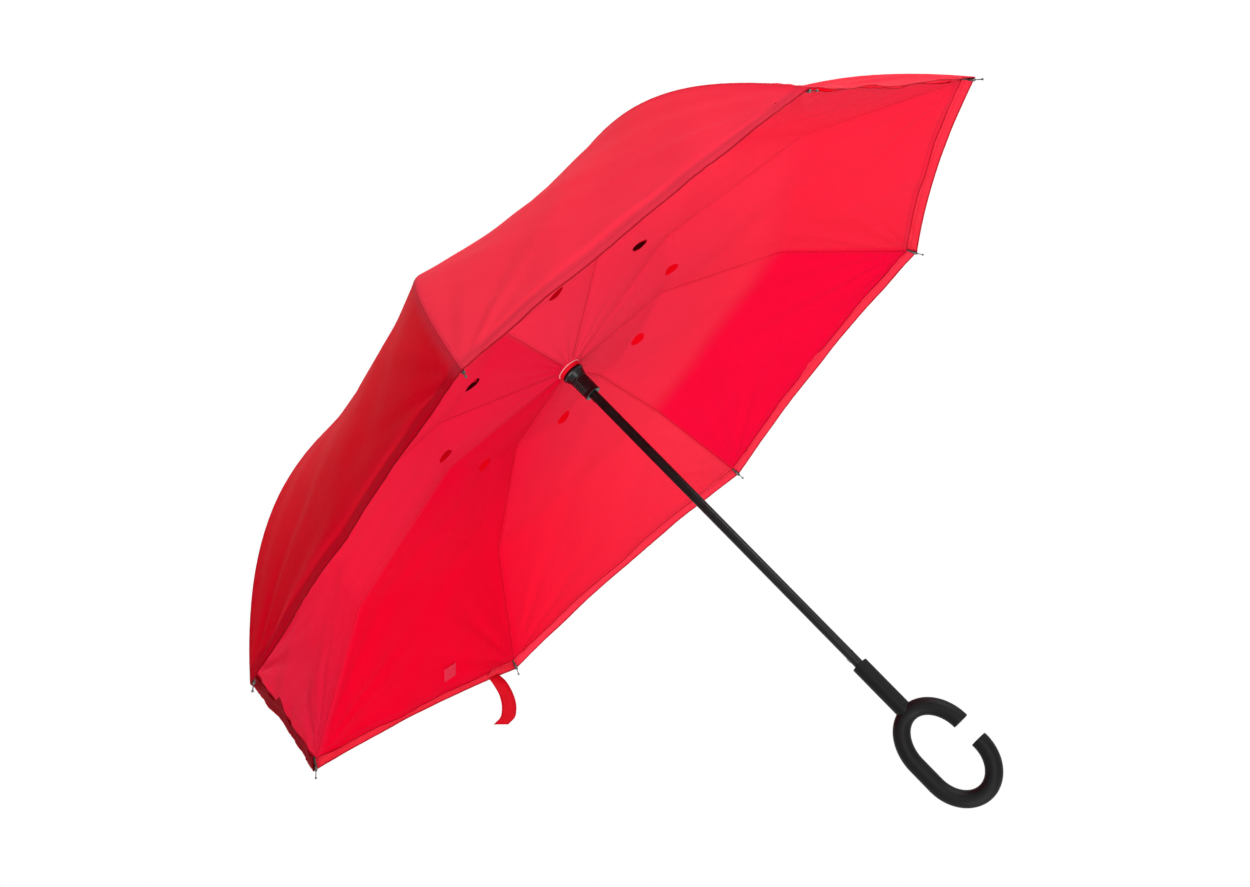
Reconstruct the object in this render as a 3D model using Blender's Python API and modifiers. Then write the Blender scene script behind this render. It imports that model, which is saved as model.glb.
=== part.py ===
"""Inverted umbrella, open: a double canopy on eight folding ribs, a sliding runner and a C-shaped handle.

Units are metres and +Z is up. The origin is on the shaft's axis, at the middle of the handle's neck.
Rib 1 points along +X, the ribs run anticlockwise seen from above, and the handle opens towards +Y.
"""

import math

import bmesh
import bpy
from mathutils import Matrix, Vector

mm = 0.001
full_turn = 2 * math.pi

# Clearances that several pieces share
fit_gap = 0.3 * mm
cut_overrun = 1.0 * mm
weld_distance = 0.001 * mm
sharp_edge_angle = math.radians(32.0)

# Counts
rib_count = 8
round_sides = 24
small_sides = 12
wire_sides = 6
arc_points = 6
steps_per_gore = 4

# The open canopy: heights are above the plane of the cloth corners, radii are along a rib
rim_z = 383.5 * mm
corner_radius = 531.5 * mm
crown_rise = 241.5 * mm
crown_slope = math.radians(10.5)
knee_radius = 260.5 * mm
knee_reach = 106.0 * mm
rim_slope = math.radians(54.3)
rim_reach = 150.5 * mm
cloth_thickness = 0.4 * mm
outer_sag = 11.2 * mm
outer_sag_radius = 340.0 * mm
outer_sag_spread = 125.0 * mm
outer_arch_share = 0.015
outer_hub_radius = 7.5 * mm
crown_ring_shares = (0.32, 0.66, 1.0)
rim_ring_shares = (0.115, 0.195, 0.3, 0.41, 0.52, 0.63, 0.74, 0.87, 1.0)

# The inner canopy is fixed to the runner and ends a little inside the outer one
inner_hub_radius = 12.0 * mm
inner_hub_rise = 107.5 * mm
inner_ridge_radius = 177.0 * mm
inner_ridge_rise = 131.0 * mm
inner_bend_radius = 363.0 * mm
inner_bend_rise = 96.0 * mm
inner_corner_inset = 7.5 * mm
inner_corner_drop = 0.5 * mm
inner_arch_share = 0.09
inner_billow = 5.0 * mm
vent_circle_radius = 170.0 * mm
vent_radius = 10.0 * mm
vent_sides = 16
inner_rim_parts = 3
inner_run_shares = (0.0, 0.5)

# Shaft tube and handle: heights are above the origin
tube_radius = 5.3 * mm
tube_wall = 0.7 * mm
tube_seat_depth = 54.5 * mm
neck_top_z = 32.5 * mm
neck_radius = 9.3 * mm
neck_edge_radius = 0.8 * mm
grip_radius = 9.4 * mm
grip_offset = 1.3 * mm
grip_half_width = 32.6 * mm
grip_top_centre_z = -82.4 * mm
grip_top_rise = 43.3 * mm
grip_straight = 27.8 * mm
grip_bottom_drop = 40.0 * mm
grip_sides = 16
grip_bend_points = 13
grip_edge_radius = 0.9 * mm
grip_end_straight = 1.8 * mm
grip_lower_reach = 3.2 * mm
grip_rim_angle = math.radians(45.0)
tube_hole_z = 48.0 * mm
tube_hole_radius = 1.3 * mm
tube_hole_azimuth = math.radians(65.0)

# Crown at the top of the shaft
crown_pivot_radius = 11.5 * mm
crown_pivot_rise = 234.0 * mm
crown_notch_radius = 14.5 * mm
crown_notch_bottom = 4.2 * mm
crown_slot_floor = 8.5 * mm
crown_slot_roof = 3.0 * mm
cap_radius = 13.0 * mm
cap_rim_height = 2.4 * mm
cap_dome_height = 11.6 * mm
cap_bore_height = 8.5 * mm
ferrule_radius = 4.5 * mm
ferrule_height = 7.6 * mm
ferrule_edge = 0.7 * mm
dome_points = 6

# Runner
runner_pivot_radius = 16.5 * mm
runner_pivot_rise = 125.0 * mm
runner_notch_radius = 19.5 * mm
runner_notch_half_height = 5.0 * mm
runner_slot_floor = 12.5 * mm
sleeve_bottom_rise = 66.0 * mm
sleeve_length = 24.0 * mm
sleeve_radius = 9.75 * mm
sleeve_edge = 0.6 * mm
cone_height = 8.5 * mm
flange_radius = 13.5 * mm
flange_height = 2.0 * mm
runner_neck_radius = 11.0 * mm
closed_runner_gap = 4.0 * mm
hub_ring_radius = 14.0 * mm
hub_ring_height = 2.1 * mm

# Wires and slots at both hubs
wire_radius = 0.5 * mm
slot_half_width = 1.3 * mm
wire_groove_half_height = 0.8 * mm

# Ribs: half widths are across the rib, along its hinge axis
strip_half_height = 2.25 * mm
strip_thickness = 0.5 * mm
tongue_half_width = 1.0 * mm
eye_radius = 2.2 * mm
eye_hole_radius = 0.9 * mm
inner_cheek_offset = 2.4 * mm
inner_block_start = 11.0 * mm
inner_block_length = 6.0 * mm
stretcher_cheek_offset = 3.2 * mm
stretcher_block_start = 10.5 * mm
stretcher_block_length = 9.0 * mm
block_inset = 0.2 * mm
elbow_radius = 305.5 * mm
elbow_drop = 4.5 * mm
closed_elbow_radius = 34.0 * mm
elbow_pin_radius = 1.0 * mm

# Outer ribs
rod_radius = 1.2 * mm
rod_depth = 3.3 * mm
rod_sides = 8
rod_ring_gap = 4.0 * mm
socket_wall = 0.3 * mm
socket_start = 3.4 * mm
socket_stub = 3.0 * mm
socket_bore_length = 12.0 * mm
knuckle_half_width = 1.1 * mm
knuckle_eye_radius = 2.6 * mm
knuckle_web_radius = 1.5 * mm
tip_cap_length = 8.0 * mm
tip_cap_end = 1.0 * mm
tip_pin_radius = 0.55 * mm
tip_ball_radius = 1.3 * mm
tip_ball_out = 3.0 * mm
tip_ball_drop = 7.7 * mm

# Spring catches, in a plane through the shaft's axis
catch_azimuth = math.radians(235.0)
catch_half_width = 1.0 * mm
catch_body_inside = 1.6 * mm
catch_body_outside = 2.8 * mm
catch_nose_radius = 7.5 * mm
catch_nose_face = 5.0 * mm
catch_nose_height = 12.0 * mm
catch_tail = 22.0 * mm
catch_head = 3.0 * mm
catch_groove_radius = 8.0 * mm
bottom_catch_z = 52.5 * mm

# Tie strap and its hook patch, beside rib 6
strap_gore = 5
strap_share = 0.12
strap_width = 19.0 * mm
strap_thickness = 0.8 * mm
strap_tail = 22.0 * mm
strap_gap = 0.6 * mm
strap_reach = 51.0 * mm
strap_down = Vector((-0.096, -0.718, -0.689))
strap_across = Vector((-0.275, 0.685, -0.675))
strap_turn_rows = 3
strap_hang_shares = (
    (0.12, 0.1),
    (0.24, 0.24),
    (0.37, 0.47),
    (0.44, 0.68),
    (0.46, 0.88),
    (0.42, 1.09),
    (0.25, 1.27),
)
patch_width = 24.0 * mm
patch_length = 17.5 * mm
patch_across_share = 0.84
patch_share = 0.355
patch_gap = 0.4 * mm

# Colours, roughness and metallic values
red_cloth = ((0.83, 0.02, 0.06), 0.75, 0.0)
dark_red_webbing = ((0.70, 0.01, 0.03), 0.8, 0.0)
pale_webbing = ((0.86, 0.25, 0.28), 0.85, 0.0)
pale_pink = ((0.85, 0.55, 0.58), 0.6, 0.0)
satin_black = ((0.02, 0.02, 0.022), 0.42, 0.0)
soft_black = ((0.025, 0.025, 0.027), 0.6, 0.0)
black_tube = ((0.03, 0.03, 0.032), 0.35, 0.6)
dark_steel = ((0.10, 0.10, 0.11), 0.4, 0.9)
bright_steel = ((0.55, 0.55, 0.56), 0.3, 1.0)
black_fibreglass = ((0.03, 0.03, 0.03), 0.5, 0.0)

# Derived places
inner_corner_radius = corner_radius - inner_corner_inset
tube_bore_radius = tube_radius - tube_wall
running_bore_radius = tube_radius + fit_gap
gore_angle = full_turn / rib_count
cloth_steps = rib_count * steps_per_gore
inner_cheek_centre = inner_cheek_offset + strip_thickness / 2
stretcher_cheek_centre = stretcher_cheek_offset + strip_thickness / 2
crown_pivot = Vector((crown_pivot_radius, 0.0, rim_z + crown_pivot_rise))
runner_pivot = Vector((runner_pivot_radius, 0.0, rim_z + runner_pivot_rise))
sleeve_bottom_z = rim_z + sleeve_bottom_rise
flange_bottom_z = sleeve_bottom_z + sleeve_length + cone_height
flange_top_z = flange_bottom_z + flange_height
runner_notch_bottom_z = runner_pivot.z - runner_notch_half_height - fit_gap
runner_travel = sleeve_bottom_z - neck_top_z - closed_runner_gap
crown_hub_z = rim_z + crown_rise - outer_hub_radius * math.tan(crown_slope)
notch_cloth_radius = crown_notch_radius / math.cos(math.pi / rib_count)
cloth_wall_height = cloth_thickness / math.cos(crown_slope)
cloth_underside_z = rim_z + crown_rise - notch_cloth_radius * math.tan(crown_slope) - cloth_wall_height
cap_bottom_z = crown_hub_z + fit_gap
cap_top_z = cap_bottom_z + cap_dome_height
cap_bore_top_z = cap_bottom_z + cap_bore_height
tube_top_z = cap_bore_top_z - fit_gap
tube_bottom_z = neck_top_z - tube_seat_depth
socket_bore_radius = rod_radius + fit_gap
socket_radius = socket_bore_radius + socket_wall
top_catch_z = sleeve_bottom_z - fit_gap


def knee():
    return Vector((knee_radius, 0.0, rim_z + crown_rise - knee_radius * math.tan(crown_slope)))


def outer_seam(share):
    """Point and direction on the outer canopy's rib seam, a cubic curve from knee (0) to corner (1)."""
    start = knee()
    corner = Vector((corner_radius, 0.0, rim_z))
    first = start + knee_reach * Vector((math.cos(crown_slope), 0.0, -math.sin(crown_slope)))
    second = corner - rim_reach * Vector((math.cos(rim_slope), 0.0, -math.sin(rim_slope)))
    left = 1 - share
    place = left**3 * start + 3 * left**2 * share * first + 3 * left * share**2 * second + share**3 * corner
    way = left**2 * (first - start) + 2 * left * share * (second - first) + share**2 * (corner - second)
    return place, way.normalized()


def share_at_radius(radius):
    """Where the outer seam passes a radius, found by halving."""
    low, high = 0.0, 1.0
    while high - low > weld_distance:
        middle = (low + high) / 2
        if outer_seam(middle)[0].x < radius:
            low = middle
        else:
            high = middle
    return (low + high) / 2


def rod_axis(share):
    """Point and direction on an outer rib's rod, which lies under the seam."""
    place, way = outer_seam(share)
    return place + rod_depth * Vector((way.z, 0.0, -way.x)), way


elbow_share = share_at_radius(elbow_radius)
elbow = outer_seam(elbow_share)[0] - Vector((0.0, 0.0, elbow_drop))


def closed_loop():
    """The stretcher's pivot on the inner rib, where both meet with the runner up and with the runner down."""
    open_way = (elbow - crown_pivot).normalized()
    length = (elbow - crown_pivot).length
    lean = math.asin((closed_elbow_radius - crown_pivot_radius) / length)
    closed_way = Vector((math.sin(lean), 0.0, -math.cos(lean)))
    lowered = runner_pivot - Vector((0.0, 0.0, runner_travel))
    open_arm = crown_pivot - runner_pivot
    closed_arm = crown_pivot - lowered
    along = (closed_arm.length_squared - open_arm.length_squared) / (
        2 * (open_way.dot(open_arm) - closed_way.dot(closed_arm))
    )
    return crown_pivot + along * open_way


stretcher_end = closed_loop()


def fresh_scene():
    for obj in list(bpy.data.objects):
        bpy.data.objects.remove(obj, do_unlink=True)
    for name in ("umbrella", "cutters"):
        bpy.context.scene.collection.children.link(bpy.data.collections.new(name))


def material(name, finish):
    colour, roughness, metallic = finish
    made = bpy.data.materials.new(name)
    made.use_nodes = True
    shader = made.node_tree.nodes["Principled BSDF"]
    shader.inputs["Base Color"].default_value = (*colour, 1.0)
    shader.inputs["Roughness"].default_value = roughness
    shader.inputs["Metallic"].default_value = metallic
    made.diffuse_color = (*colour, 1.0)
    return made


def rib_frame(index):
    """The turn that takes +X to a rib."""
    return Matrix.Rotation(gore_angle * index, 4, "Z")


def pitched(angle):
    """The turn about +Y that lifts +X by an angle."""
    return Matrix.Rotation(-angle, 4, "Y")


def elevation(way):
    return math.atan2(way.z, way.x)


def add_object(name, mesh, place=None, parent=None, group="umbrella"):
    obj = bpy.data.objects.new(name, mesh)
    bpy.data.collections[group].objects.link(obj)
    if parent:
        obj.parent = parent
    obj.matrix_basis = place or Matrix.Identity(4)
    if group == "cutters":
        obj.hide_render = True
        obj.display_type = "WIRE"
    return obj


def add_part(name, mesh, finish, place=None, parent=None):
    """A finished piece, shaded smooth but for its sharp edges."""
    mesh.name = name
    mesh.materials.clear()
    mesh.materials.append(material(name, finish))
    mesh.shade_smooth()
    mesh.set_sharp_from_angle(angle=sharp_edge_angle)
    return add_object(name, mesh, place, parent)


def pivot_empty(name, place):
    empty = add_object(name, None, place)
    empty.empty_display_size = eye_radius
    return empty


def mesh_from(bm, name):
    mesh = bpy.data.meshes.new(name)
    bm.to_mesh(mesh)
    bm.free()
    return mesh


def evaluated_mesh(obj):
    """The object's mesh with its modifiers, in world space; the object is removed."""
    bpy.context.view_layer.update()
    graph = bpy.context.evaluated_depsgraph_get()
    mesh = bpy.data.meshes.new_from_object(obj.evaluated_get(graph))
    bm = bmesh.new()
    bm.from_mesh(mesh)
    bmesh.ops.transform(bm, matrix=obj.matrix_world, verts=bm.verts)
    bmesh.ops.remove_doubles(bm, verts=bm.verts, dist=weld_distance)
    bpy.data.objects.remove(obj, do_unlink=True)
    return mesh_from(bm, "shape")


def combined(base, others, operation):
    """One mesh from several, by exact Booleans."""
    obj = add_object("base", base)
    helpers = []
    for number, mesh in enumerate(others):
        helper = add_object(f"helper_{number}", mesh, group="cutters")
        helpers.append(helper)
        cut = obj.modifiers.new(operation.lower(), "BOOLEAN")
        cut.operation = operation
        cut.solver = "EXACT"
        cut.object = helper
    made = evaluated_mesh(obj)
    for helper in helpers:
        bpy.data.objects.remove(helper, do_unlink=True)
    return made


def union(base, *others):
    return combined(base, others, "UNION")


def without(base, *others):
    return combined(base, others, "DIFFERENCE")


def turned(profile, sides=round_sides, place=None, closed=True):
    """A shape turned about +Z: the (radius, height) profile runs down its outer side; a closed one is a ring."""
    bm = bmesh.new()
    corners = [bm.verts.new((radius, 0.0, height)) for radius, height in profile]
    for start, end in zip(corners, corners[1:]):
        bm.edges.new((start, end))
    if closed:
        bm.edges.new((corners[-1], corners[0]))
    obj = add_object("turned", mesh_from(bm, "profile"), place)
    screw = obj.modifiers.new("turn", "SCREW")
    screw.steps = sides
    screw.render_steps = sides
    screw.use_merge_vertices = True
    screw.merge_threshold = weld_distance
    return evaluated_mesh(obj)


def block(size, centre, turn=None):
    bm = bmesh.new()
    bmesh.ops.create_cube(bm, size=1.0)
    bmesh.ops.scale(bm, vec=size, verts=bm.verts)
    bmesh.ops.translate(bm, vec=centre, verts=bm.verts)
    if turn:
        bmesh.ops.transform(bm, matrix=turn, verts=bm.verts)
    return mesh_from(bm, "block")


def rod_between(start, end, radius, sides):
    """A straight round bar from one point to another."""
    bm = bmesh.new()
    bmesh.ops.create_cone(
        bm, cap_ends=True, segments=sides, radius1=radius, radius2=radius, depth=(end - start).length
    )
    turn = (end - start).to_track_quat("Z", "Y").to_matrix().to_4x4()
    bmesh.ops.transform(bm, matrix=Matrix.Translation((start + end) / 2) @ turn, verts=bm.verts)
    return mesh_from(bm, "bar")


def curve_mesh(routes, half_thickness=0.0, radius=0.0, sides=4):
    """A mesh from point lists: a filled flat outline with a thickness, or a tube with closed ends."""
    curve = bpy.data.curves.new("curve", "CURVE")
    if radius:
        curve.dimensions = "3D"
        curve.bevel_depth = radius
        curve.bevel_resolution = (sides - 4) // 2
        curve.use_fill_caps = True
    else:
        curve.dimensions = "2D"
        curve.fill_mode = "BOTH"
        curve.extrude = half_thickness
    for route in routes:
        spline = curve.splines.new("POLY")
        spline.points.add(len(route) - 1)
        for point, place in zip(spline.points, route):
            point.co = (*place, 1.0)
        spline.use_cyclic_u = not radius
    mesh = evaluated_mesh(add_object("curve", curve))
    bm = bmesh.new()
    bm.from_mesh(mesh)
    bmesh.ops.recalc_face_normals(bm, faces=bm.faces)
    return mesh_from(bm, "curve")


def circle_outline(radius, sides=small_sides, centre=(0.0, 0.0)):
    steps = (full_turn * step / sides for step in range(sides))
    return [(centre[0] + radius * math.cos(a), centre[1] + radius * math.sin(a)) for a in steps]


def bar_outline(start, start_radius, end, end_radius):
    """A bar's outline with a half circle at each end."""
    along = math.atan2(end[1] - start[1], end[0] - start[0])
    points = []
    ends = ((start, start_radius, along + math.pi / 2), (end, end_radius, along - math.pi / 2))
    for centre, radius, first in ends:
        for step in range(arc_points):
            angle = first + math.pi * step / (arc_points - 1)
            points.append((centre[0] + radius * math.cos(angle), centre[1] + radius * math.sin(angle)))
    return points


def plate(outlines, half_thickness, across=0.0):
    """A flat plate in the XZ plane, centred at a distance along Y; the outlines after the first are holes."""
    mesh = curve_mesh([[(x, z, 0.0) for x, z in outline] for outline in outlines], half_thickness)
    mesh.transform(Matrix.Translation((0.0, across, 0.0)) @ Matrix.Rotation(math.pi / 2, 4, "X"))
    return mesh


def joined(meshes):
    """Several meshes in one, as cutters that don't touch each other."""
    bm = bmesh.new()
    for mesh in meshes:
        bm.from_mesh(mesh)
    return mesh_from(bm, "cutters")


def ring_profile(inside, outside, bottom, top):
    return [(outside, top), (outside, bottom), (inside, bottom), (inside, top)]


def slot_cutter(floor, reach, bottom, top):
    """One slot under each rib, open to the outside."""
    size = (reach - floor, 2 * slot_half_width, top - bottom)
    slot = block(size, ((reach + floor) / 2, 0.0, (top + bottom) / 2))
    slots = []
    for index in range(rib_count):
        copy = slot.copy()
        copy.transform(rib_frame(index))
        slots.append(copy)
    return joined(slots)


def catch_groove(bottom, top):
    """A groove in a bore that lets the runner pass the catches."""
    half_width = catch_half_width + fit_gap
    size = (catch_groove_radius, 2 * half_width, top - bottom + 2 * cut_overrun)
    return block(
        size, (catch_groove_radius / 2, 0.0, (top + bottom) / 2), Matrix.Rotation(catch_azimuth, 4, "Z")
    )


def tube_slot(bottom, top):
    """The opening in the shaft for a catch's nose."""
    reach = tube_radius + cut_overrun
    size = (reach, 2 * (catch_half_width + fit_gap), top - bottom + 2 * fit_gap)
    return block(size, (reach / 2, 0.0, (top + bottom) / 2), Matrix.Rotation(catch_azimuth, 4, "Z"))


def make_shaft():
    tube = turned(ring_profile(tube_bore_radius, tube_radius, tube_bottom_z, tube_top_z))
    hole_way = Vector((math.cos(tube_hole_azimuth), math.sin(tube_hole_azimuth), 0.0))
    hole_centre = Vector((0.0, 0.0, tube_hole_z))
    outside = hole_centre + hole_way * (tube_radius + cut_overrun)
    hole = rod_between(hole_centre, outside, tube_hole_radius, small_sides)
    tube = without(
        tube,
        tube_slot(top_catch_z - catch_nose_height, top_catch_z),
        tube_slot(bottom_catch_z - catch_nose_height, bottom_catch_z),
        hole,
    )
    add_part("shaft_tube", tube, black_tube)


def grip_route():
    """The C's centreline: half an ellipse over the top, a straight back, half an ellipse below and its tip."""
    near = grip_offset + grip_half_width
    far = grip_offset - grip_half_width
    low_centre_z = grip_top_centre_z - grip_straight
    turn = math.pi / (grip_bend_points + 1)
    route = [(0.0, near, grip_top_centre_z), (0.0, near, grip_top_centre_z + grip_end_straight)]
    for step in range(1, grip_bend_points + 1):
        y = grip_offset + grip_half_width * math.cos(turn * step)
        route.append((0.0, y, grip_top_centre_z + grip_top_rise * math.sin(turn * step)))
    route += [(0.0, far, grip_top_centre_z), (0.0, far, low_centre_z)]
    for step in range(grip_bend_points, 0, -1):
        y = grip_offset + grip_half_width * math.cos(turn * step)
        route.append((0.0, y, low_centre_z - grip_bottom_drop * math.sin(turn * step)))
    route += [(0.0, near, low_centre_z - grip_end_straight), (0.0, near, low_centre_z + grip_lower_reach)]
    return route


def round_end_edges(mesh, heights):
    """Rounds the rims of the flat ends that lie at these heights."""
    bm = bmesh.new()
    bm.from_mesh(mesh)
    rims = [
        edge
        for edge in bm.edges
        if any(all(abs(vert.co.z - height) < weld_distance for vert in edge.verts) for height in heights)
        and edge.calc_face_angle(0.0) > grip_rim_angle
        and all(vert.co.y > grip_offset for vert in edge.verts)
    ]
    bmesh.ops.bevel(bm, geom=rims, offset=grip_edge_radius, segments=2, profile=0.5, affect="EDGES")
    return mesh_from(bm, "grip")


def make_handle():
    loop = curve_mesh([grip_route()], radius=grip_radius, sides=grip_sides)
    lower_end_z = grip_top_centre_z - grip_straight + grip_lower_reach
    loop = round_end_edges(loop, (grip_top_centre_z, lower_end_z))
    neck_bottom_z = grip_top_centre_z + grip_top_rise
    neck = turned(
        [
            (0.0, neck_top_z),
            (neck_radius - neck_edge_radius, neck_top_z),
            (neck_radius, neck_top_z - neck_edge_radius),
            (neck_radius, neck_bottom_z),
            (0.0, neck_bottom_z),
        ],
        sides=grip_sides,
        closed=False,
    )
    seat_bottom_z = tube_bottom_z - fit_gap
    bore = rod_between(
        Vector((0.0, 0.0, seat_bottom_z)),
        Vector((0.0, 0.0, neck_top_z + cut_overrun)),
        running_bore_radius,
        round_sides,
    )
    add_part("handle", without(union(loop, neck), bore), soft_black)


def make_crown():
    top = cloth_underside_z - fit_gap
    bottom = crown_pivot.z - crown_notch_bottom
    notch = turned(ring_profile(running_bore_radius, crown_notch_radius, bottom, top))
    reach = crown_notch_radius + cut_overrun
    slots = slot_cutter(crown_slot_floor, reach, bottom - cut_overrun, crown_pivot.z + crown_slot_roof)
    add_part("crown_notch", without(notch, slots, wire_groove(crown_pivot, reach)), satin_black)
    add_part("crown_wire", wire_ring(crown_pivot), bright_steel)
    make_cap()


def wire_groove(pivot, reach):
    inside = pivot.x - wire_radius - fit_gap
    low = pivot.z - wire_groove_half_height
    return turned(ring_profile(inside, reach, low, low + 2 * wire_groove_half_height))


def wire_ring(pivot):
    profile = circle_outline(wire_radius, wire_sides, (pivot.x, pivot.z))
    return turned(profile[::-1])


def make_cap():
    """The dome and the short ferrule above the cloth."""
    rim_top_z = cap_bottom_z + cap_rim_height
    profile = [
        (0.0, cap_top_z + ferrule_height),
        (ferrule_radius - ferrule_edge, cap_top_z + ferrule_height),
        (ferrule_radius, cap_top_z + ferrule_height - ferrule_edge),
    ]
    for step in range(dome_points + 1):
        angle = math.pi / 2 * step / dome_points
        radius = ferrule_radius + (cap_radius - ferrule_radius) * math.sin(angle)
        profile.append((radius, rim_top_z + (cap_top_z - rim_top_z) * math.cos(angle)))
    profile += [
        (cap_radius, cap_bottom_z),
        (running_bore_radius, cap_bottom_z),
        (running_bore_radius, cap_bore_top_z),
        (0.0, cap_bore_top_z),
    ]
    add_part("top_cap", turned(profile, closed=False), satin_black)


def make_runner():
    neck_top = runner_notch_bottom_z - fit_gap
    cone_bottom = flange_bottom_z - cone_height
    sleeve = turned(
        [
            (runner_neck_radius, neck_top),
            (runner_neck_radius, flange_top_z),
            (flange_radius, flange_top_z),
            (flange_radius, flange_bottom_z),
            (sleeve_radius, cone_bottom),
            (sleeve_radius, sleeve_bottom_z + sleeve_edge),
            (sleeve_radius - sleeve_edge, sleeve_bottom_z),
            (running_bore_radius, sleeve_bottom_z),
            (running_bore_radius, neck_top),
        ]
    )
    add_part("runner_sleeve", without(sleeve, catch_groove(sleeve_bottom_z, neck_top)), satin_black)

    top = runner_pivot.z + runner_notch_half_height
    notch = turned(ring_profile(running_bore_radius, runner_notch_radius, runner_notch_bottom_z, top))
    reach = runner_notch_radius + cut_overrun
    slots = slot_cutter(runner_slot_floor, reach, runner_notch_bottom_z - cut_overrun, top + cut_overrun)
    groove = catch_groove(runner_notch_bottom_z, top)
    add_part("runner_notch", without(notch, slots, wire_groove(runner_pivot, reach), groove), satin_black)
    add_part("runner_wire", wire_ring(runner_pivot), bright_steel)

    ring_top = rim_z + inner_hub_rise - fit_gap
    ring_inside = runner_neck_radius + fit_gap
    ring = turned(ring_profile(ring_inside, hub_ring_radius, ring_top - hub_ring_height, ring_top))
    add_part("hub_ring", ring, pale_pink)


def strip_shape(length, far_radius, cheek_centre, block_start, block_length, pin):
    """A rib of two steel strips, joined near its hub into one tongue with an eye for the wire."""
    tongue_end = (block_start + block_length / 2, 0.0)
    tongue = plate(
        [
            bar_outline((0.0, 0.0), eye_radius, tongue_end, eye_radius - block_inset),
            circle_outline(eye_hole_radius),
        ],
        tongue_half_width,
    )
    block_half_width = cheek_centre + strip_thickness / 2 - block_inset
    block_size = (block_length, 2 * block_half_width, 2 * strip_half_height - block_inset)
    pieces = [block(block_size, (block_start + block_length / 2, 0.0, 0.0))]
    cheek_start = block_start + strip_half_height + block_inset
    outline = bar_outline((cheek_start, 0.0), strip_half_height, (length, 0.0), far_radius)
    for side in (-1, 1):
        pieces.append(plate([outline], strip_thickness / 2, side * cheek_centre))
    if pin:
        half = Vector((0.0, cheek_centre, 0.0))
        far = Vector((length, 0.0, 0.0))
        pieces.append(rod_between(far - half, far + half, elbow_pin_radius, small_sides))
    return union(tongue, *pieces)


def knuckle_shape():
    """An eye on the elbow pin and a socket for the rod, placed about the elbow."""
    start, way = rod_axis(elbow_share)
    start = start - elbow + socket_start * way
    web_end = start + socket_stub / 2 * way
    web = plate(
        [
            bar_outline((0.0, 0.0), knuckle_eye_radius, (web_end.x, web_end.z), knuckle_web_radius),
            circle_outline(elbow_pin_radius + fit_gap),
        ],
        knuckle_half_width,
    )
    mouth = socket_stub + socket_bore_length
    socket = turned(
        [
            (0.0, mouth),
            (socket_radius, mouth),
            (socket_radius, 0.0),
            (0.0, 0.0),
        ],
        sides=small_sides,
        place=Matrix.Translation(start) @ way.to_track_quat("Z", "Y").to_matrix().to_4x4(),
        closed=False,
    )
    bore = rod_between(
        start + socket_stub * way, start + (mouth + cut_overrun) * way, socket_bore_radius, small_sides
    )
    return without(union(web, socket), bore)


def rod_shape():
    """The springy rod from the socket to the tip, bent at the cloth's own rings, placed about the elbow."""
    start, way = rod_axis(elbow_share)
    inner_end = start + (socket_start + socket_stub + fit_gap) * way
    mouth = start + (socket_start + socket_stub + socket_bore_length) * way
    corner_place, corner_way = rod_axis(1.0)
    cap_mouth = corner_place - tip_cap_length * corner_way
    route = [inner_end, mouth]
    for share in rim_ring_shares:
        place = rod_axis(share)[0]
        past_mouth = (place - mouth).dot(way)
        before_cap = (cap_mouth - place).dot(corner_way)
        if min(past_mouth, before_cap) > rod_ring_gap:
            route.append(place)
    route += [cap_mouth, corner_place - (tip_cap_end + fit_gap) * corner_way]
    return curve_mesh([[tuple(place - elbow) for place in route]], radius=rod_radius, sides=rod_sides)


def tip_shape():
    """The metal cap on the rod's end, with the pin and ball that hold both cloth corners."""
    end, way = rod_axis(1.0)
    end = end - elbow
    track = way.to_track_quat("Z", "Y").to_matrix().to_4x4()
    cap = turned(
        [
            (0.0, tip_cap_length),
            (socket_radius, tip_cap_length),
            (socket_radius, 0.0),
            (socket_bore_radius, 0.0),
            (socket_bore_radius, tip_cap_length - tip_cap_end),
            (0.0, tip_cap_length - tip_cap_end),
        ],
        sides=small_sides,
        place=Matrix.Translation(end - tip_cap_length * way) @ track,
        closed=False,
    )
    ball_centre = Vector((corner_radius + tip_ball_out, 0.0, rim_z - tip_ball_drop)) - elbow
    pin = rod_between(end - tip_cap_end / 2 * way, ball_centre, tip_pin_radius, rod_sides)
    bm = bmesh.new()
    bmesh.ops.create_uvsphere(bm, u_segments=rod_sides, v_segments=wire_sides, radius=tip_ball_radius)
    bmesh.ops.translate(bm, vec=ball_centre, verts=bm.verts)
    return union(cap, pin, mesh_from(bm, "ball"))


def make_ribs():
    inner_way = elbow - crown_pivot
    stretcher_way = stretcher_end - runner_pivot
    inner = strip_shape(
        inner_way.length, strip_half_height, inner_cheek_centre, inner_block_start, inner_block_length, True
    )
    stretcher = strip_shape(
        stretcher_way.length,
        strip_half_height,
        stretcher_cheek_centre,
        stretcher_block_start,
        stretcher_block_length,
        False,
    )
    shapes = (
        ("rib_knuckle", knuckle_shape(), dark_steel),
        ("outer_rod", rod_shape(), black_fibreglass),
        ("rib_tip", tip_shape(), bright_steel),
    )
    add_copies("inner_rib", inner, dark_steel, crown_pivot, elevation(inner_way))
    add_copies("stretcher", stretcher, dark_steel, runner_pivot, elevation(stretcher_way))
    for index in range(rib_count):
        axis = pivot_empty(f"outer_rib_{index + 1}_axis", rib_frame(index) @ Matrix.Translation(elbow))
        for name, mesh, finish in shapes:
            if index == 0:
                add_part(f"{name}_1", mesh, finish, parent=axis)
            else:
                add_object(f"{name}_{index + 1}", mesh, parent=axis)


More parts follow.
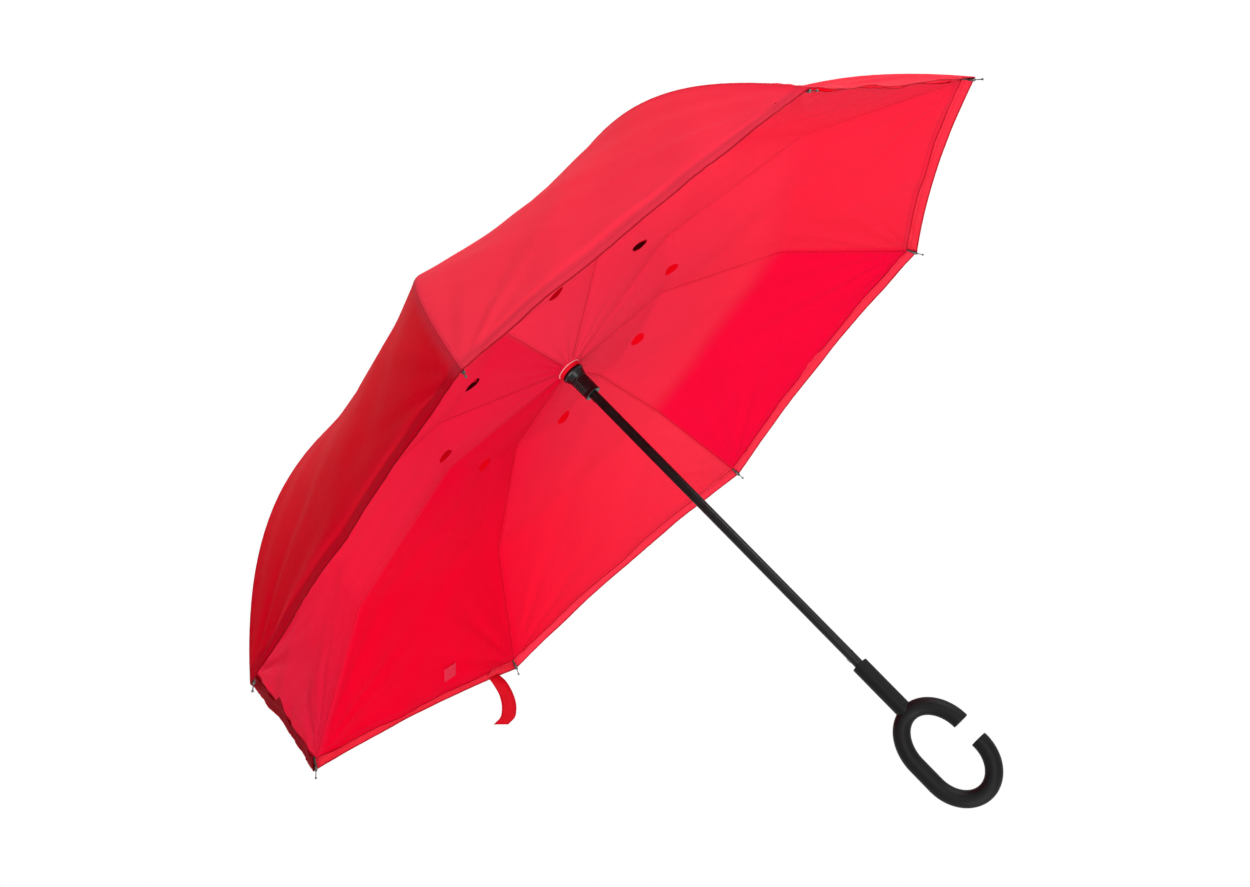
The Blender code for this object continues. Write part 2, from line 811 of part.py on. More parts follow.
def add_copies(name, mesh, finish, pivot, angle):
    """One piece for each rib, with its origin on its hinge."""
    for index in range(rib_count):
        place = rib_frame(index) @ Matrix.Translation(pivot) @ pitched(angle)
        if index == 0:
            add_part(f"{name}_1", mesh, finish, place)
        else:
            add_object(f"{name}_{index + 1}", mesh, place)


def outer_rings():
    """The outer cloth's rings: (radius, height) over a rib, and in mid-gore, where it sags and arches up."""
    rings = []
    crown_z = rim_z + crown_rise
    for share in (0.0, *crown_ring_shares):
        radius = outer_hub_radius + share * (knee_radius - outer_hub_radius)
        over_rib = Vector((radius, crown_z - radius * math.tan(crown_slope)))
        rings.append((over_rib, over_rib + outer_sag_at(radius) * inward(-crown_slope)))
    for share in rim_ring_shares:
        over_rib = outer_seam(share)[0]
        arched, way = outer_seam(share * (1 - outer_arch_share))
        middle = arched.xz + outer_sag_at(arched.x) * inward(elevation(way))
        rings.append((over_rib.xz, middle))
    return rings


def inward(slope):
    """The direction square to a slope that points under the canopy."""
    return Vector((math.sin(slope), -math.cos(slope)))


def outer_sag_at(radius):
    """A bell over the radius: the panels sag most beside the knee, and hardly at the hub and the rim."""
    return outer_sag * math.exp(-(((radius - outer_sag_radius) / outer_sag_spread) ** 2))


def inner_rings():
    """The inner cloth's rings, as the outer one's: past the bend it billows outwards, and its rim arches up."""
    hub = Vector((inner_hub_radius, rim_z + inner_hub_rise))
    ridge = Vector((inner_ridge_radius, rim_z + inner_ridge_rise))
    bend = Vector((inner_bend_radius, rim_z + inner_bend_rise))
    rim = Vector((inner_corner_radius, rim_z - inner_corner_drop))
    rings = []
    for start, end in ((hub, ridge), (ridge, bend)):
        for share in inner_run_shares:
            place = start.lerp(end, share)
            rings.append((place, place))
    way = rim - bend
    outwards = -inward(math.atan2(way.y, way.x))
    for part in range(inner_rim_parts + 1):
        share = part / inner_rim_parts
        middle = bend.lerp(rim, share * (1 - inner_arch_share)) + share * inner_billow * outwards
        rings.append((bend.lerp(rim, share), middle))
    return rings


def cloth_vertex(ring, azimuth):
    """A point on a ring: between its place over a rib and in mid-gore, on the chord from rib to rib."""
    half = gore_angle / 2
    off_middle = azimuth % gore_angle - half
    middle_share = 1 - (math.tan(off_middle) / math.tan(half)) ** 2
    radius, height = ring[0].lerp(ring[1], middle_share)
    out = radius * math.cos(half) / math.cos(off_middle)
    return Vector((out * math.cos(azimuth), out * math.sin(azimuth), height))


def cloth_shape(rings, outward):
    """Faces from ring to ring all the way round, given their thickness."""
    bm = bmesh.new()
    azimuths = [full_turn * step / cloth_steps for step in range(cloth_steps)]
    rows = [[bm.verts.new(cloth_vertex(ring, azimuth)) for azimuth in azimuths] for ring in rings]
    for near, far in zip(rows, rows[1:]):
        for step in range(cloth_steps):
            before = step - 1
            bm.faces.new((near[before], far[before], far[step], near[step]))
    obj = add_object("cloth", mesh_from(bm, "cloth"))
    wall = obj.modifiers.new("wall", "SOLIDIFY")
    wall.thickness = cloth_thickness
    wall.offset = 1.0 if outward else -1.0
    return evaluated_mesh(obj)


def vent_cutter():
    """A round hole in the middle of each panel."""
    low = rim_z + inner_bend_rise
    high = rim_z + inner_ridge_rise + cut_overrun + vent_radius
    holes = []
    for index in range(rib_count):
        azimuth = gore_angle * (index + 0.5)
        out = Vector((math.cos(azimuth), math.sin(azimuth), 0.0))
        centre = vent_circle_radius * out
        foot = centre + Vector((0.0, 0.0, low))
        head = centre + Vector((0.0, 0.0, high))
        holes.append(rod_between(foot, head, vent_radius, vent_sides))
    return joined(holes)


def make_canopies():
    outer = cloth_shape(outer_rings(), outward=False)
    add_part("outer_canopy", outer, red_cloth)
    inner = cloth_shape(inner_rings(), outward=True)
    add_part("inner_canopy", without(inner, vent_cutter()), red_cloth)


def inner_cloth_point(across_share, gore, share):
    """Point, normal and edge directions on the inner cloth's facets, from the bend (0) to the rim (1)."""
    rings = inner_rings()[-inner_rim_parts - 1 :]
    ring_at = min(int(across_share * inner_rim_parts), inner_rim_parts - 1)
    ring_part = across_share * inner_rim_parts - ring_at
    step_at = min(int(share * steps_per_gore), steps_per_gore - 1)
    step_part = share * steps_per_gore - step_at
    corners = []
    for ring in (ring_at, ring_at + 1):
        for step in (step_at, step_at + 1):
            azimuth = gore_angle * (gore + step / steps_per_gore)
            corners.append(cloth_vertex(rings[ring], azimuth))
    high = corners[0].lerp(corners[1], step_part)
    low = corners[2].lerp(corners[3], step_part)
    along = (low - high).normalized()
    normal = (corners[1] - corners[0]).cross(along)
    if normal.z < 0:
        normal = -normal
    return high.lerp(low, ring_part), normal.normalized(), along, (corners[3] - corners[2]).normalized()


def make_strap():
    """A webbing strip that comes out between the two layers, turns to its flat side and hangs with a curl."""
    rim_place, normal, along, side = inner_cloth_point(1.0, strap_gore, strap_share)
    lift = cloth_thickness + strap_gap + strap_thickness / 2
    foot = rim_place + lift * normal
    route = [foot - strap_tail * along, foot - strap_tail / 2 * along, foot]
    foot_row = len(route) - 1
    for across_share, down_share in strap_hang_shares:
        route.append(foot + strap_reach * (across_share * strap_across + down_share * strap_down))
    bm = bmesh.new()
    rows = len(route)
    bmesh.ops.create_grid(bm, x_segments=rows - 1, y_segments=1, size=1.0)
    bm.verts.ensure_lookup_table()
    for vert in bm.verts:
        row = round((vert.co.x + 1) / 2 * (rows - 1))
        turned_share = min(1.0, max(0.0, (row - foot_row) / strap_turn_rows))
        width = side.lerp(-strap_across, turned_share).normalized()
        vert.co = route[row] + vert.co.y * strap_width / 2 * width
    obj = add_object("strap", mesh_from(bm, "strap"))
    wall = obj.modifiers.new("wall", "SOLIDIFY")
    wall.thickness = strap_thickness
    wall.offset = 0.0
    mesh = evaluated_mesh(obj)
    bm = bmesh.new()
    bm.from_mesh(mesh)
    bmesh.ops.recalc_face_normals(bm, faces=bm.faces)
    add_part("strap", mesh_from(bm, "strap"), dark_red_webbing)


def make_patch():
    """The hook patch that the strap's end presses on, sewn flat to the inner cloth."""
    place, normal, along, _ = inner_cloth_point(patch_across_share, strap_gore, patch_share)
    side = normal.cross(along).normalized()
    turn = Matrix((along, side, normal)).transposed().to_4x4()
    centre = place - (patch_gap + strap_thickness / 2) * normal
    size = (patch_length, patch_width, strap_thickness)
    mesh = block(size, (0.0, 0.0, 0.0), Matrix.Translation(centre) @ turn)
    add_part("strap_patch", mesh, pale_webbing)


def make_catch(name, nose_z, upside_down):
    """A flat spring stamping whose nose stands out of the shaft, with one square side and one sloping side."""
    outline = [
        (catch_body_inside, -catch_nose_height - catch_tail),
        (catch_body_outside, -catch_nose_height - catch_tail),
        (catch_body_outside, -catch_nose_height),
        (catch_nose_radius, -catch_nose_face),
        (catch_nose_radius, 0.0),
        (catch_body_outside, 0.0),
        (catch_body_outside, catch_head),
        (catch_body_inside, catch_head),
    ]
    if upside_down:
        outline = [(radius, -catch_nose_height - height) for radius, height in outline]
    mesh = plate([outline], catch_half_width)
    mesh.transform(Matrix.Translation((0.0, 0.0, nose_z)))
    add_part(name, mesh, bright_steel, Matrix.Rotation(catch_azimuth, 4, "Z"))


fresh_scene()
make_shaft()
make_handle()
make_crown()
make_runner()
make_ribs()
make_canopies()
make_strap()
make_patch()
make_catch("top_catch", top_catch_z, upside_down=False)
make_catch("bottom_catch", bottom_catch_z, upside_down=True)
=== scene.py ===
"""How the open inverted umbrella looks: two layers of red cloth on black ribs, a black shaft and a C handle.

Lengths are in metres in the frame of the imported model: +Z runs up the shaft, and rib 1 points along +X.
"""

import math

import bmesh
import bpy
import numpy as np
from mathutils import Matrix, Vector


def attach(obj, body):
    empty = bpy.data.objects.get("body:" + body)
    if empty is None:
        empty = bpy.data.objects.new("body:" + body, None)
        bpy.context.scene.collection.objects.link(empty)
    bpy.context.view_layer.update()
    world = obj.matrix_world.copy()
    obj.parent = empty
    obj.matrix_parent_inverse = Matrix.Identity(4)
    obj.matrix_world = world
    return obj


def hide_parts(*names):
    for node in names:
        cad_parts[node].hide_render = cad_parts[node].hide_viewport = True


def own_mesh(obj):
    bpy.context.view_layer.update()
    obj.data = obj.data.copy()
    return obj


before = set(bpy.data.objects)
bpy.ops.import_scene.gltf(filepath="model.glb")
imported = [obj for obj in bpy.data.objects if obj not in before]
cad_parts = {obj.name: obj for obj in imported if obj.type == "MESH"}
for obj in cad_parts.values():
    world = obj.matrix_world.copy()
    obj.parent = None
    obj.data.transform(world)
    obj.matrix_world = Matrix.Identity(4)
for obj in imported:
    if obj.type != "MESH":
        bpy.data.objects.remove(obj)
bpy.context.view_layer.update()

# CAMERA
# It stands low on the handle's side, looks up under the canopy, and leans over to its right, so that
# the upright shaft crosses the picture.
camera_eye = Vector((1.98836, 0.24472, -0.16262))
camera_azimuth = math.radians(-172.60)
camera_elevation = math.radians(15.251)
camera_lean = math.radians(44.424)
camera_lens = 54.30
camera_sensor = 36.0
camera_near = 0.02


def place_camera():
    """Looks along the azimuth and elevation; up is the level view's up, turned by the lean towards its right."""
    level = math.cos(camera_elevation)
    look = Vector((level * math.cos(camera_azimuth), level * math.sin(camera_azimuth), math.sin(camera_elevation)))
    level_right = look.cross(Vector((0.0, 0.0, 1.0))).normalized()
    level_up = level_right.cross(look)
    up = math.cos(camera_lean) * level_up + math.sin(camera_lean) * level_right
    data = bpy.data.cameras.new("camera")
    data.lens = camera_lens
    data.sensor_width = camera_sensor
    data.sensor_fit = "HORIZONTAL"
    data.clip_start = camera_near
    camera = bpy.data.objects.new("camera", data)
    bpy.context.scene.collection.objects.link(camera)
    turn = Matrix((look.cross(up), up, -look)).transposed().to_4x4()
    camera.matrix_world = Matrix.Translation(camera_eye) @ turn
    bpy.context.scene.camera = camera


place_camera()


# SHAFT
# One drawn steel tube, painted satin black, with a small round hole near its foot. It is pressed into the
# handle's neck below and into the top cap above.
full_turn = 2 * math.pi
mm = 0.001
tube_radius = 5.3 * mm
tube_bottom_z = 20.0 * mm
tube_top_z = 631.5 * mm
tube_edge = 0.4 * mm
hole_z = 48.0 * mm
hole_radius = 1.3 * mm
hole_azimuth = math.radians(65.0)
hole_rim = np.array(((1.5, -0.1), (1.3, 0.12), (1.05, 0.12), (0.96, -0.15)))
hole_shade_disc = np.array(((1.0, 0.03), (0.5, 0.03), (0.0, 0.03)))
corner_limit = 0.36
corner_hold = 1.35


def shaped(name, points, look, closed=True, flipped=False):
    """A piece from a grid of points, rows by columns. Each face joins a point, its neighbour in the row, and the
    two beside them in the next row; the last column joins the first where the grid is closed."""
    rows, columns = points.shape[:2]
    row = np.arange(rows - 1)[:, None] * columns
    column = np.arange(columns if closed else columns - 1)[None, :]
    beside = (column + 1) % columns
    corners = (row + column, row + beside, row + columns + beside, row + columns + column)
    faces = np.stack(np.broadcast_arrays(*corners), axis=-1).reshape(-1, 4)
    if flipped:
        faces = faces[:, ::-1]
    mesh = bpy.data.meshes.new(name)
    mesh.vertices.add(points.size // 3)
    mesh.vertices.foreach_set("co", points.ravel())
    mesh.loops.add(faces.size)
    mesh.loops.foreach_set("vertex_index", faces.ravel())
    mesh.polygons.add(len(faces))
    mesh.polygons.foreach_set("loop_start", np.arange(0, faces.size, 4))
    mesh.update(calc_edges=True)
    mesh.materials.append(look)
    mesh.shade_smooth()
    piece = bpy.data.objects.new(name, mesh)
    bpy.context.scene.collection.objects.link(piece)
    return piece


def welded(piece):
    """Closes a solid's seam and poles by merging the points that meet there."""
    bm = bmesh.new()
    bm.from_mesh(piece.data)
    bmesh.ops.remove_doubles(bm, verts=bm.verts, dist=1e-6)
    bm.to_mesh(piece.data)
    bm.free()
    piece.data.shade_smooth()
    return piece


def part_of(body, slot, node_name, *pieces):
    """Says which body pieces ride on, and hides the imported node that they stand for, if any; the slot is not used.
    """
    for piece in pieces:
        if node_name:
            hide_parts(node_name)
        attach(piece, body)


def softened(corners, reach, parts=5):
    """An outline whose corners give way to quadratic curves that start and end at most a reach away."""
    corners = np.array(corners, float)
    inner = corners[1:-1]
    arms = []
    for other in (corners[:-2], corners[2:]):
        arm = other - inner
        length = np.linalg.norm(arm, axis=1, keepdims=True)
        arms.append(arm * np.minimum(reach / length, corner_limit))
    share = np.linspace(0, 1, parts + 1)[None, :, None]
    start, end = (inner + arms[0])[:, None], (inner + arms[1])[:, None]
    curve = (1 - share) ** 2 * start + 2 * share * (1 - share) * inner[:, None] + share**2 * end
    before, after = ((inner + corner_hold * arm)[:, None] for arm in arms)
    rounded = np.concatenate((before, curve, after), axis=1).reshape(-1, corners.shape[1])
    return np.vstack((corners[:1], rounded, corners[-1:]))


def turned(name, profile, look, sides=96, relief=None):
    """(radius, height) points, going up the outer side, carried round the shaft's axis; a relief adds to the radius
    outside the bore."""
    angle = np.arange(sides)[None, :] * full_turn / sides
    radius, height = profile[:, :1], profile[:, 1:] + 0 * angle
    if relief:
        radius = radius + relief(angle, height) * (radius > tube_radius + 2 * mm)
    points = np.stack((radius * np.cos(angle), radius * np.sin(angle), height), axis=-1)
    return welded(shaped(name, points, look))


def feed(tree, made, inputs):
    """Sets a shader node's inputs, by name or number, to plain values or to other nodes' outputs."""
    for name, value in inputs.items():
        socket = made.inputs[name]
        if isinstance(value, bpy.types.NodeSocket):
            tree.links.new(value, socket)
        else:
            socket.default_value = (*value, 1.0) if socket.type == "RGBA" else value


def node(tree, kind, inputs=None, **properties):
    """Adds a shader node."""
    made = tree.nodes.new(kind)
    for name, value in properties.items():
        setattr(made, name, value)
    feed(tree, made, inputs or {})
    return made


def maths(tree, operation, first, second=0.0, third=0.0):
    """One sum on numbers that vary over the surface."""
    return node(tree, "ShaderNodeMath", {0: first, 1: second, 2: third}, operation=operation).outputs[0]


def ranged(tree, value, low, high, start, end, smooth=False):
    """Maps a value from one range to another, held at its ends."""
    kind = "SMOOTHSTEP" if smooth else "LINEAR"
    sockets = {"Value": value, "From Min": low, "From Max": high, "To Min": start, "To Max": end}
    return node(tree, "ShaderNodeMapRange", sockets, interpolation_type=kind).outputs["Result"]


def mixed(tree, factor, first, second):
    """A colour the factor's share of the way from the first to the second."""
    return node(tree, "ShaderNodeMix", {"Factor": factor, 6: first, 7: second}, data_type="RGBA").outputs[2]


def noise(tree, place, scale, detail=2.0, distortion=0.0):
    """Cloudy noise from 0 to 1, with about the scale's number of clouds in a metre."""
    sockets = {"Vector": place, "Scale": scale, "Detail": detail, "Distortion": distortion}
    return node(tree, "ShaderNodeTexNoise", sockets).outputs["Fac"]


def bump(tree, height, strength, distance, over=None, sunk=False):
    """A normal that leans as the height changes, on the plain surface or over another bump."""
    sockets = {"Height": height, "Strength": strength, "Distance": distance}
    if over is not None:
        sockets["Normal"] = over
    return node(tree, "ShaderNodeBump", sockets, invert=sunk).outputs[0]


def new_group(name, inputs, outputs):
    """An empty node group: its inputs and outputs are numbers, unless the name says that they are a vector."""
    tree = bpy.data.node_groups.new(name, "ShaderNodeTree")
    for way, names in (("INPUT", inputs), ("OUTPUT", outputs)):
        for socket in names:
            kind = "NodeSocketVector" if socket == "Vector" else "NodeSocketFloat"
            tree.interface.new_socket(name=socket, in_out=way, socket_type=kind)
    return tree, tree.nodes.new("NodeGroupInput").outputs, tree.nodes.new("NodeGroupOutput")


def use_group(tree, group, inputs):
    """Places a node group in a material."""
    used = node(tree, "ShaderNodeGroup", node_tree=group)
    feed(tree, used, inputs)
    return used.outputs


def new_finish(name):
    """A material with its node tree, its Principled shader and its object coordinates."""
    made = bpy.data.materials.new(name)
    made.use_nodes = True
    tree = made.node_tree
    place = tree.nodes.new("ShaderNodeTexCoord").outputs["Object"]
    return made, tree, tree.nodes["Principled BSDF"], place


def make_grain_group():
    """Height is fine noise over a coarser one; Mottle is slow cloudy change; Specks are rare small marks."""
    tree, given, result = new_group("surface_grain", ("Vector", "Grain", "Cloud"), ("Height", "Mottle", "Specks"))
    fine = noise(tree, given["Vector"], given["Grain"])
    cloud = noise(tree, given["Vector"], given["Cloud"], 3.0)
    close = {"Vector": given["Vector"], "Scale": maths(tree, "MULTIPLY", given["Cloud"], 9.0)}
    marks = node(tree, "ShaderNodeTexVoronoi", close).outputs["Distance"]
    feed(tree, result, {
        "Height": maths(tree, "MULTIPLY_ADD", cloud, 0.3, fine),
        "Mottle": ranged(tree, cloud, 0.35, 0.65, 0.0, 1.0),
        "Specks": ranged(tree, marks, 0.04, 0.12, 1.0, 0.0),
    })
    return tree


surface_grain = make_grain_group()


def finish(name, colour, pale, grain, cloud, rough, dents, metallic=0.0, specular=0.5):
    """A moulded, painted or bare surface: colour and roughness drift with the mottle, and the grain dents it."""
    made, tree, shader, place = new_finish(name)
    marks = use_group(tree, surface_grain, {"Vector": place, "Grain": grain, "Cloud": cloud})
    drift, specks = maths(tree, "MULTIPLY", marks["Mottle"], 0.6), maths(tree, "MULTIPLY", marks["Specks"], 0.5)
    feed(tree, shader, {
        "Base Color": mixed(tree, maths(tree, "MAXIMUM", drift, specks), colour, pale),
        "Roughness": ranged(tree, marks["Mottle"], 0.0, 1.0, *rough),
        "Normal": bump(tree, marks["Height"], dents, 0.1 * mm),
        "Metallic": metallic,
        "Specular IOR Level": specular,
    })
    return made


shaft_black, shaft_worn = (0.0035, 0.0042, 0.0046), (0.006, 0.0072, 0.0078)
shaft_paint = finish("shaft_paint", shaft_black, shaft_worn, 2600.0, 60.0, (0.26, 0.34), 0.12, specular=0.2)
# the hole's inside is a very dark disc laid on the tube: painted shade
dark, dark_shade_mottle = (0.0008, 0.0008, 0.0009), (0.001, 0.001, 0.0012)
painted_hole_shade = finish("painted_hole_shade", dark, dark_shade_mottle, 900.0, 60.0, (0.8, 0.9), 0.1, specular=0.0)


def make_shaft():
    """A plain tube, and the hole as two rings of (share of its radius, lift in mm), bent round the tube; the inner one
    is a very dark disc of painted shade.
    """
    profile = [(0.0, tube_bottom_z), (tube_radius, tube_bottom_z), (tube_radius, tube_top_z), (0.0, tube_top_z)]
    tube = turned("shaft", softened(profile, tube_edge), shaft_paint, sides=64)
    part_of("root", "shaft_metal", "shaft_tube", tube)

    turn = np.arange(32)[None, :] * full_turn / 32
    for name, rings, look in (
        ("shaft_hole_rim", hole_rim, shaft_paint),
        ("shaft_hole_floor", hole_shade_disc, painted_hole_shade),
    ):
        radius, out = rings[:, :1] * hole_radius, tube_radius + rings[:, 1:] * mm + 0 * turn
        around, up = hole_azimuth + radius * np.cos(turn) / tube_radius, radius * np.sin(turn)
        points = np.stack((out * np.cos(around), out * np.sin(around), hole_z + up), axis=-1)
        part_of("root", "shaft_metal", None, welded(shaped(name, points, look, flipped=True)))


make_shaft()


# HANDLE
# One moulding in hard plastic with a soft-touch coat: a straight neck round the shaft's foot, and an open C
# for the hand or the forearm. Its two cut ends are flat with rounded edges.
neck_radius = 9.3 * mm
neck_top_z = 32.5 * mm
neck_bottom_z = -36.0 * mm
neck_lip = 3.0 * mm
neck_edge = 0.8 * mm
grip_radius = 9.4 * mm
grip_offset = 1.3 * mm
grip_half_width = 32.6 * mm
grip_centre_z = -82.4 * mm
grip_rise = 43.3 * mm
grip_straight = 27.8 * mm
grip_drop = 40.0 * mm
grip_edge = 0.9 * mm
grip_lower_reach = 3.2 * mm


def distances(path):
    """The distance gone at each point of a path, as the running sum of its steps."""
    return np.concatenate(([0.0], np.cumsum(np.linalg.norm(np.diff(path, axis=0), axis=1))))


def unit(ways):
    """Directions made one long."""
    return ways / np.linalg.norm(ways, axis=-1, keepdims=True)


def bar_rows(length, radius, edge, rows):
    """Distances along a round bar and its radius at each, with flat ends and rounded edges."""
    bend = np.linspace(math.pi / 2, 0, 7)
    inset = edge * (1 - np.sin(bend))
    shrunk = radius - edge * (1 - np.cos(bend))
    middle = np.linspace(edge, length - edge, rows)[1:-1]
    core = 0.8 * (radius - edge)
    distance = np.concatenate(([0, 0], inset, middle, length - inset[::-1], [length, length]))
    radii = np.concatenate(([0, core], shrunk, np.full(len(middle), radius), shrunk[::-1], [core, 0]))
    return distance, radii


def swept(path, side, distance, radii, sides=48):
    """Rings along a flat path: each stands square to it, on the side direction and their common perpendicular."""
    gone = distances(path)
    gone *= distance[-1] / gone[-1]
    place, way = (
        np.stack([np.interp(distance, gone, values[:, axis]) for axis in range(3)], axis=-1)
        for values in (path, np.gradient(path, gone, axis=0))
    )
    way = unit(way)
    side = np.broadcast_to(side, way.shape)
    angle = (np.arange(sides) * full_turn / sides)[None, :, None]
    ring = np.cos(angle) * side[:, None] + np.sin(angle) * np.cross(way, side)[:, None]
    return place[:, None] + radii[:, None, None] * ring


coat_black, coat_worn = (0.0045, 0.0045, 0.0052), (0.0065, 0.0065, 0.0075)
soft_touch = finish("soft_touch", coat_black, coat_worn, 3200.0, 35.0, (0.42, 0.5), 0.12, specular=0.11)


def make_handle():
    """The C runs over half an ellipse, straight down, under half another, and a little way up again."""
    bend = np.linspace(0, math.pi, 120)
    wide, high = grip_half_width * np.cos(bend), np.sin(bend)
    top = np.stack((0 * bend, grip_offset + wide, grip_centre_z + grip_rise * high), axis=-1)
    low = np.stack((0 * bend, grip_offset - wide, grip_centre_z - grip_straight - grip_drop * high), axis=-1)
    path = np.vstack((top, low, low[-1] + np.array((0.0, 0.0, grip_lower_reach))))
    distance, radii = bar_rows(distances(path)[-1], grip_radius, grip_edge, 150)
    rings = swept(path, np.array((1.0, 0.0, 0.0)), distance, radii, 64)
    grip = welded(shaped("handle_grip", rings, soft_touch))
    corners = [
        (0.0, neck_bottom_z),
        (neck_radius, neck_bottom_z),
        (neck_radius, neck_top_z),
        (tube_radius, neck_top_z),
        (tube_radius, neck_top_z - neck_lip),
    ]
    neck = turned("handle_neck", softened(corners, neck_edge), soft_touch, sides=64)
    part_of("root", "grip_plastic", "handle", grip, neck)


make_handle()


# CROWN
# The notched hub that the inner ribs turn in is moulded in black plastic and pressed on the shaft. A steel
# wire through the ribs' eyes lies in its groove. The domed cap with its short ferrule clamps the cloth.
cap_bottom_z = 624.0 * mm
cap_rim_z = 626.4 * mm
cap_top_z = 635.4 * mm
cap_radius = 13.0 * mm
cap_edge = 0.6 * mm
ferrule_top_z = 643.0 * mm
ferrule_radius = 4.5 * mm
ferrule_foot = 0.5 * mm
ferrule_edge = 1.0 * mm

hub_black, hub_worn = (0.004, 0.004, 0.0045), (0.008, 0.008, 0.009)
hub_plastic = finish("hub_plastic", hub_black, hub_worn, 2400.0, 80.0, (0.2, 0.3), 0.15, specular=0.28)
steel, dull_steel = (0.55, 0.55, 0.56), (0.42, 0.42, 0.43)
hub_steel = finish("hub_steel", steel, dull_steel, 3000.0, 150.0, (0.22, 0.38), 0.25, metallic=1.0)


def dress(look, *names):
    """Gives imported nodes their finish."""
    for name in names:
        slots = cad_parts[name].data.materials
        slots.clear()
        slots.append(look)


def make_crown():
    """The cap's dome is a quarter of an ellipse between its rim and the ferrule."""
    bend = np.linspace(0, math.pi / 2, 24)[::-1]
    dome_radius = ferrule_radius + (cap_radius - ferrule_radius) * np.sin(bend)
    dome = np.stack((dome_radius, cap_rim_z + (cap_top_z - cap_rim_z) * np.cos(bend)), axis=-1)
    foot = [(tube_radius, cap_bottom_z), (cap_radius - cap_edge, cap_bottom_z), (cap_radius, cap_bottom_z + cap_edge)]
    head = [(ferrule_radius, cap_top_z + ferrule_foot), (ferrule_radius, ferrule_top_z), (0.0, ferrule_top_z)]
    cap = turned("crown_cap", np.vstack((foot, dome, softened(head, ferrule_edge))), hub_plastic)
    part_of("root", "hub_plastic", "top_cap", cap)
    dress(hub_plastic, "crown_notch")
    dress(hub_steel, "crown_wire", "top_catch", "bottom_catch")


make_crown()


# RUNNER
# A black moulding that slides on the shaft: a sleeve with finger ridges, a cone, a flange, and a neck in
# the inner cloth's hub. Its notch holds the stretchers on a steel wire. A pale bound ring edges the cloth.
sleeve_bottom_z = 449.5 * mm
cone_bottom_z = 473.5 * mm
flange_bottom_z = 482.0 * mm
flange_top_z = 484.0 * mm
runner_top_z = 502.9 * mm
bore_room = 0.3 * mm
sleeve_radius = 9.75 * mm
flange_radius = 13.5 * mm
runner_neck_radius = 11.0 * mm
bead_radius = sleeve_radius + 0.3 * mm
ridge_bottom_z = 455.5 * mm
ridge_pitch = 2.6 * mm
ridge_count = 7
ridge_lift = 0.55 * mm
ridge_azimuth = math.radians(315.0)
ridge_half_turn = math.radians(45.0)
collar = np.array(((11.3, 485.0), (12.9, 485.4), (14.3, 489.9), (13.2, 490.3), (11.3, 485.0))) * mm
piping_centre = (14.2 * mm, 490.2 * mm)
piping_radius = 0.5 * mm


def ridges(angle, height):
    """Rounded ribs across the sleeve where a finger presses, fading out at their ends."""
    count = (height - ridge_bottom_z) / ridge_pitch
    wave = np.where((count > 0) & (count < ridge_count), np.sin(math.pi * (count % 1.0)) ** 2, 0.0)
    off = np.abs((angle - ridge_azimuth + math.pi) % full_turn - math.pi) / ridge_half_turn
    return ridge_lift * wave * np.clip(4 * (1 - off), 0, 1)


bound_edge = finish("bound_edge", (0.80, 0.42, 0.44), (0.9, 0.62, 0.63), 1800.0, 200.0, (0.6, 0.75), 0.6)
bound_red, bound_deep = (0.70, 0.002, 0.02), (0.58, 0.001, 0.012)
bound_cloth = finish("bound_cloth", bound_red, bound_deep, 1500.0, 300.0, (0.6, 0.75), 0.6, specular=0.1)


def make_runner():
    """The sleeve's outline runs up from the bore; close rows on its straight part carry the ridges."""
    lower = [
        (tube_radius + bore_room, sleeve_bottom_z + 2 * mm),
        (tube_radius + bore_room, sleeve_bottom_z),
        (sleeve_radius - 0.5 * mm, sleeve_bottom_z),
        (bead_radius, sleeve_bottom_z + 0.5 * mm),
        (bead_radius, sleeve_bottom_z + 1.6 * mm),
        (sleeve_radius, sleeve_bottom_z + 2.0 * mm),
    ]
    height = np.arange(ridge_bottom_z, cone_bottom_z - mm, 0.2 * mm)
    straight = np.stack((sleeve_radius + 0 * height, height), axis=-1)
    upper = [
        (sleeve_radius, cone_bottom_z - 0.8 * mm),
        (bead_radius, cone_bottom_z - 0.4 * mm),
        (bead_radius, cone_bottom_z + 0.5 * mm),
        (sleeve_radius + 0.35 * mm, cone_bottom_z + 0.9 * mm),
        (flange_radius - 1.2 * mm, flange_bottom_z - 1.4 * mm),
        (flange_radius, flange_bottom_z),
        (flange_radius, flange_top_z),
        (runner_neck_radius, flange_top_z),
        (runner_neck_radius, runner_top_z),
        (tube_radius, runner_top_z),
    ]
    profile = np.vstack((softened(lower, 0.3 * mm), straight, softened(upper, 0.4 * mm)))
    sleeve = turned("runner_sleeve_moulding", profile, hub_plastic, sides=144, relief=ridges)
    part_of("runner", "hub_plastic", "runner_sleeve", sleeve)

    bound = turned("inner_hub_collar", softened(collar, 0.3 * mm), bound_cloth)
    angle = np.linspace(0, full_turn, 25)
    ring = np.stack((np.cos(angle), np.sin(angle)), axis=-1) * piping_radius + np.array(piping_centre)
    part_of("runner", "binding_ring", "hub_ring", bound, turned("inner_hub_binding", ring, bound_edge))
    dress(hub_plastic, "runner_notch")
    dress(hub_steel, "runner_wire")


make_runner()


# RIBS
# Each rib is three members: an inner rib and a stretcher of paired steel strips, painted black, and a
# springy fibreglass rod in a steel knuckle. The rods carry the outer cloth to its corners.
rib_count = 8
gore_angle = full_turn / rib_count
half_gore = gore_angle / 2
rim_z = 383.5 * mm
crown_rise = 241.5 * mm
crown_slope = math.radians(10.5)
knee_radius = 260.5 * mm
knee_reach = 106.0 * mm
rim_slope = math.radians(54.3)
rim_reach = 150.5 * mm
seam_start = 7.5 * mm
corner_radius = 531.5 * mm
elbow_radius = 305.5 * mm
rod_radius = 1.2 * mm
rod_edge = 0.3 * mm
rod_depth = 3.3 * mm
socket_depth = 8.0 * mm
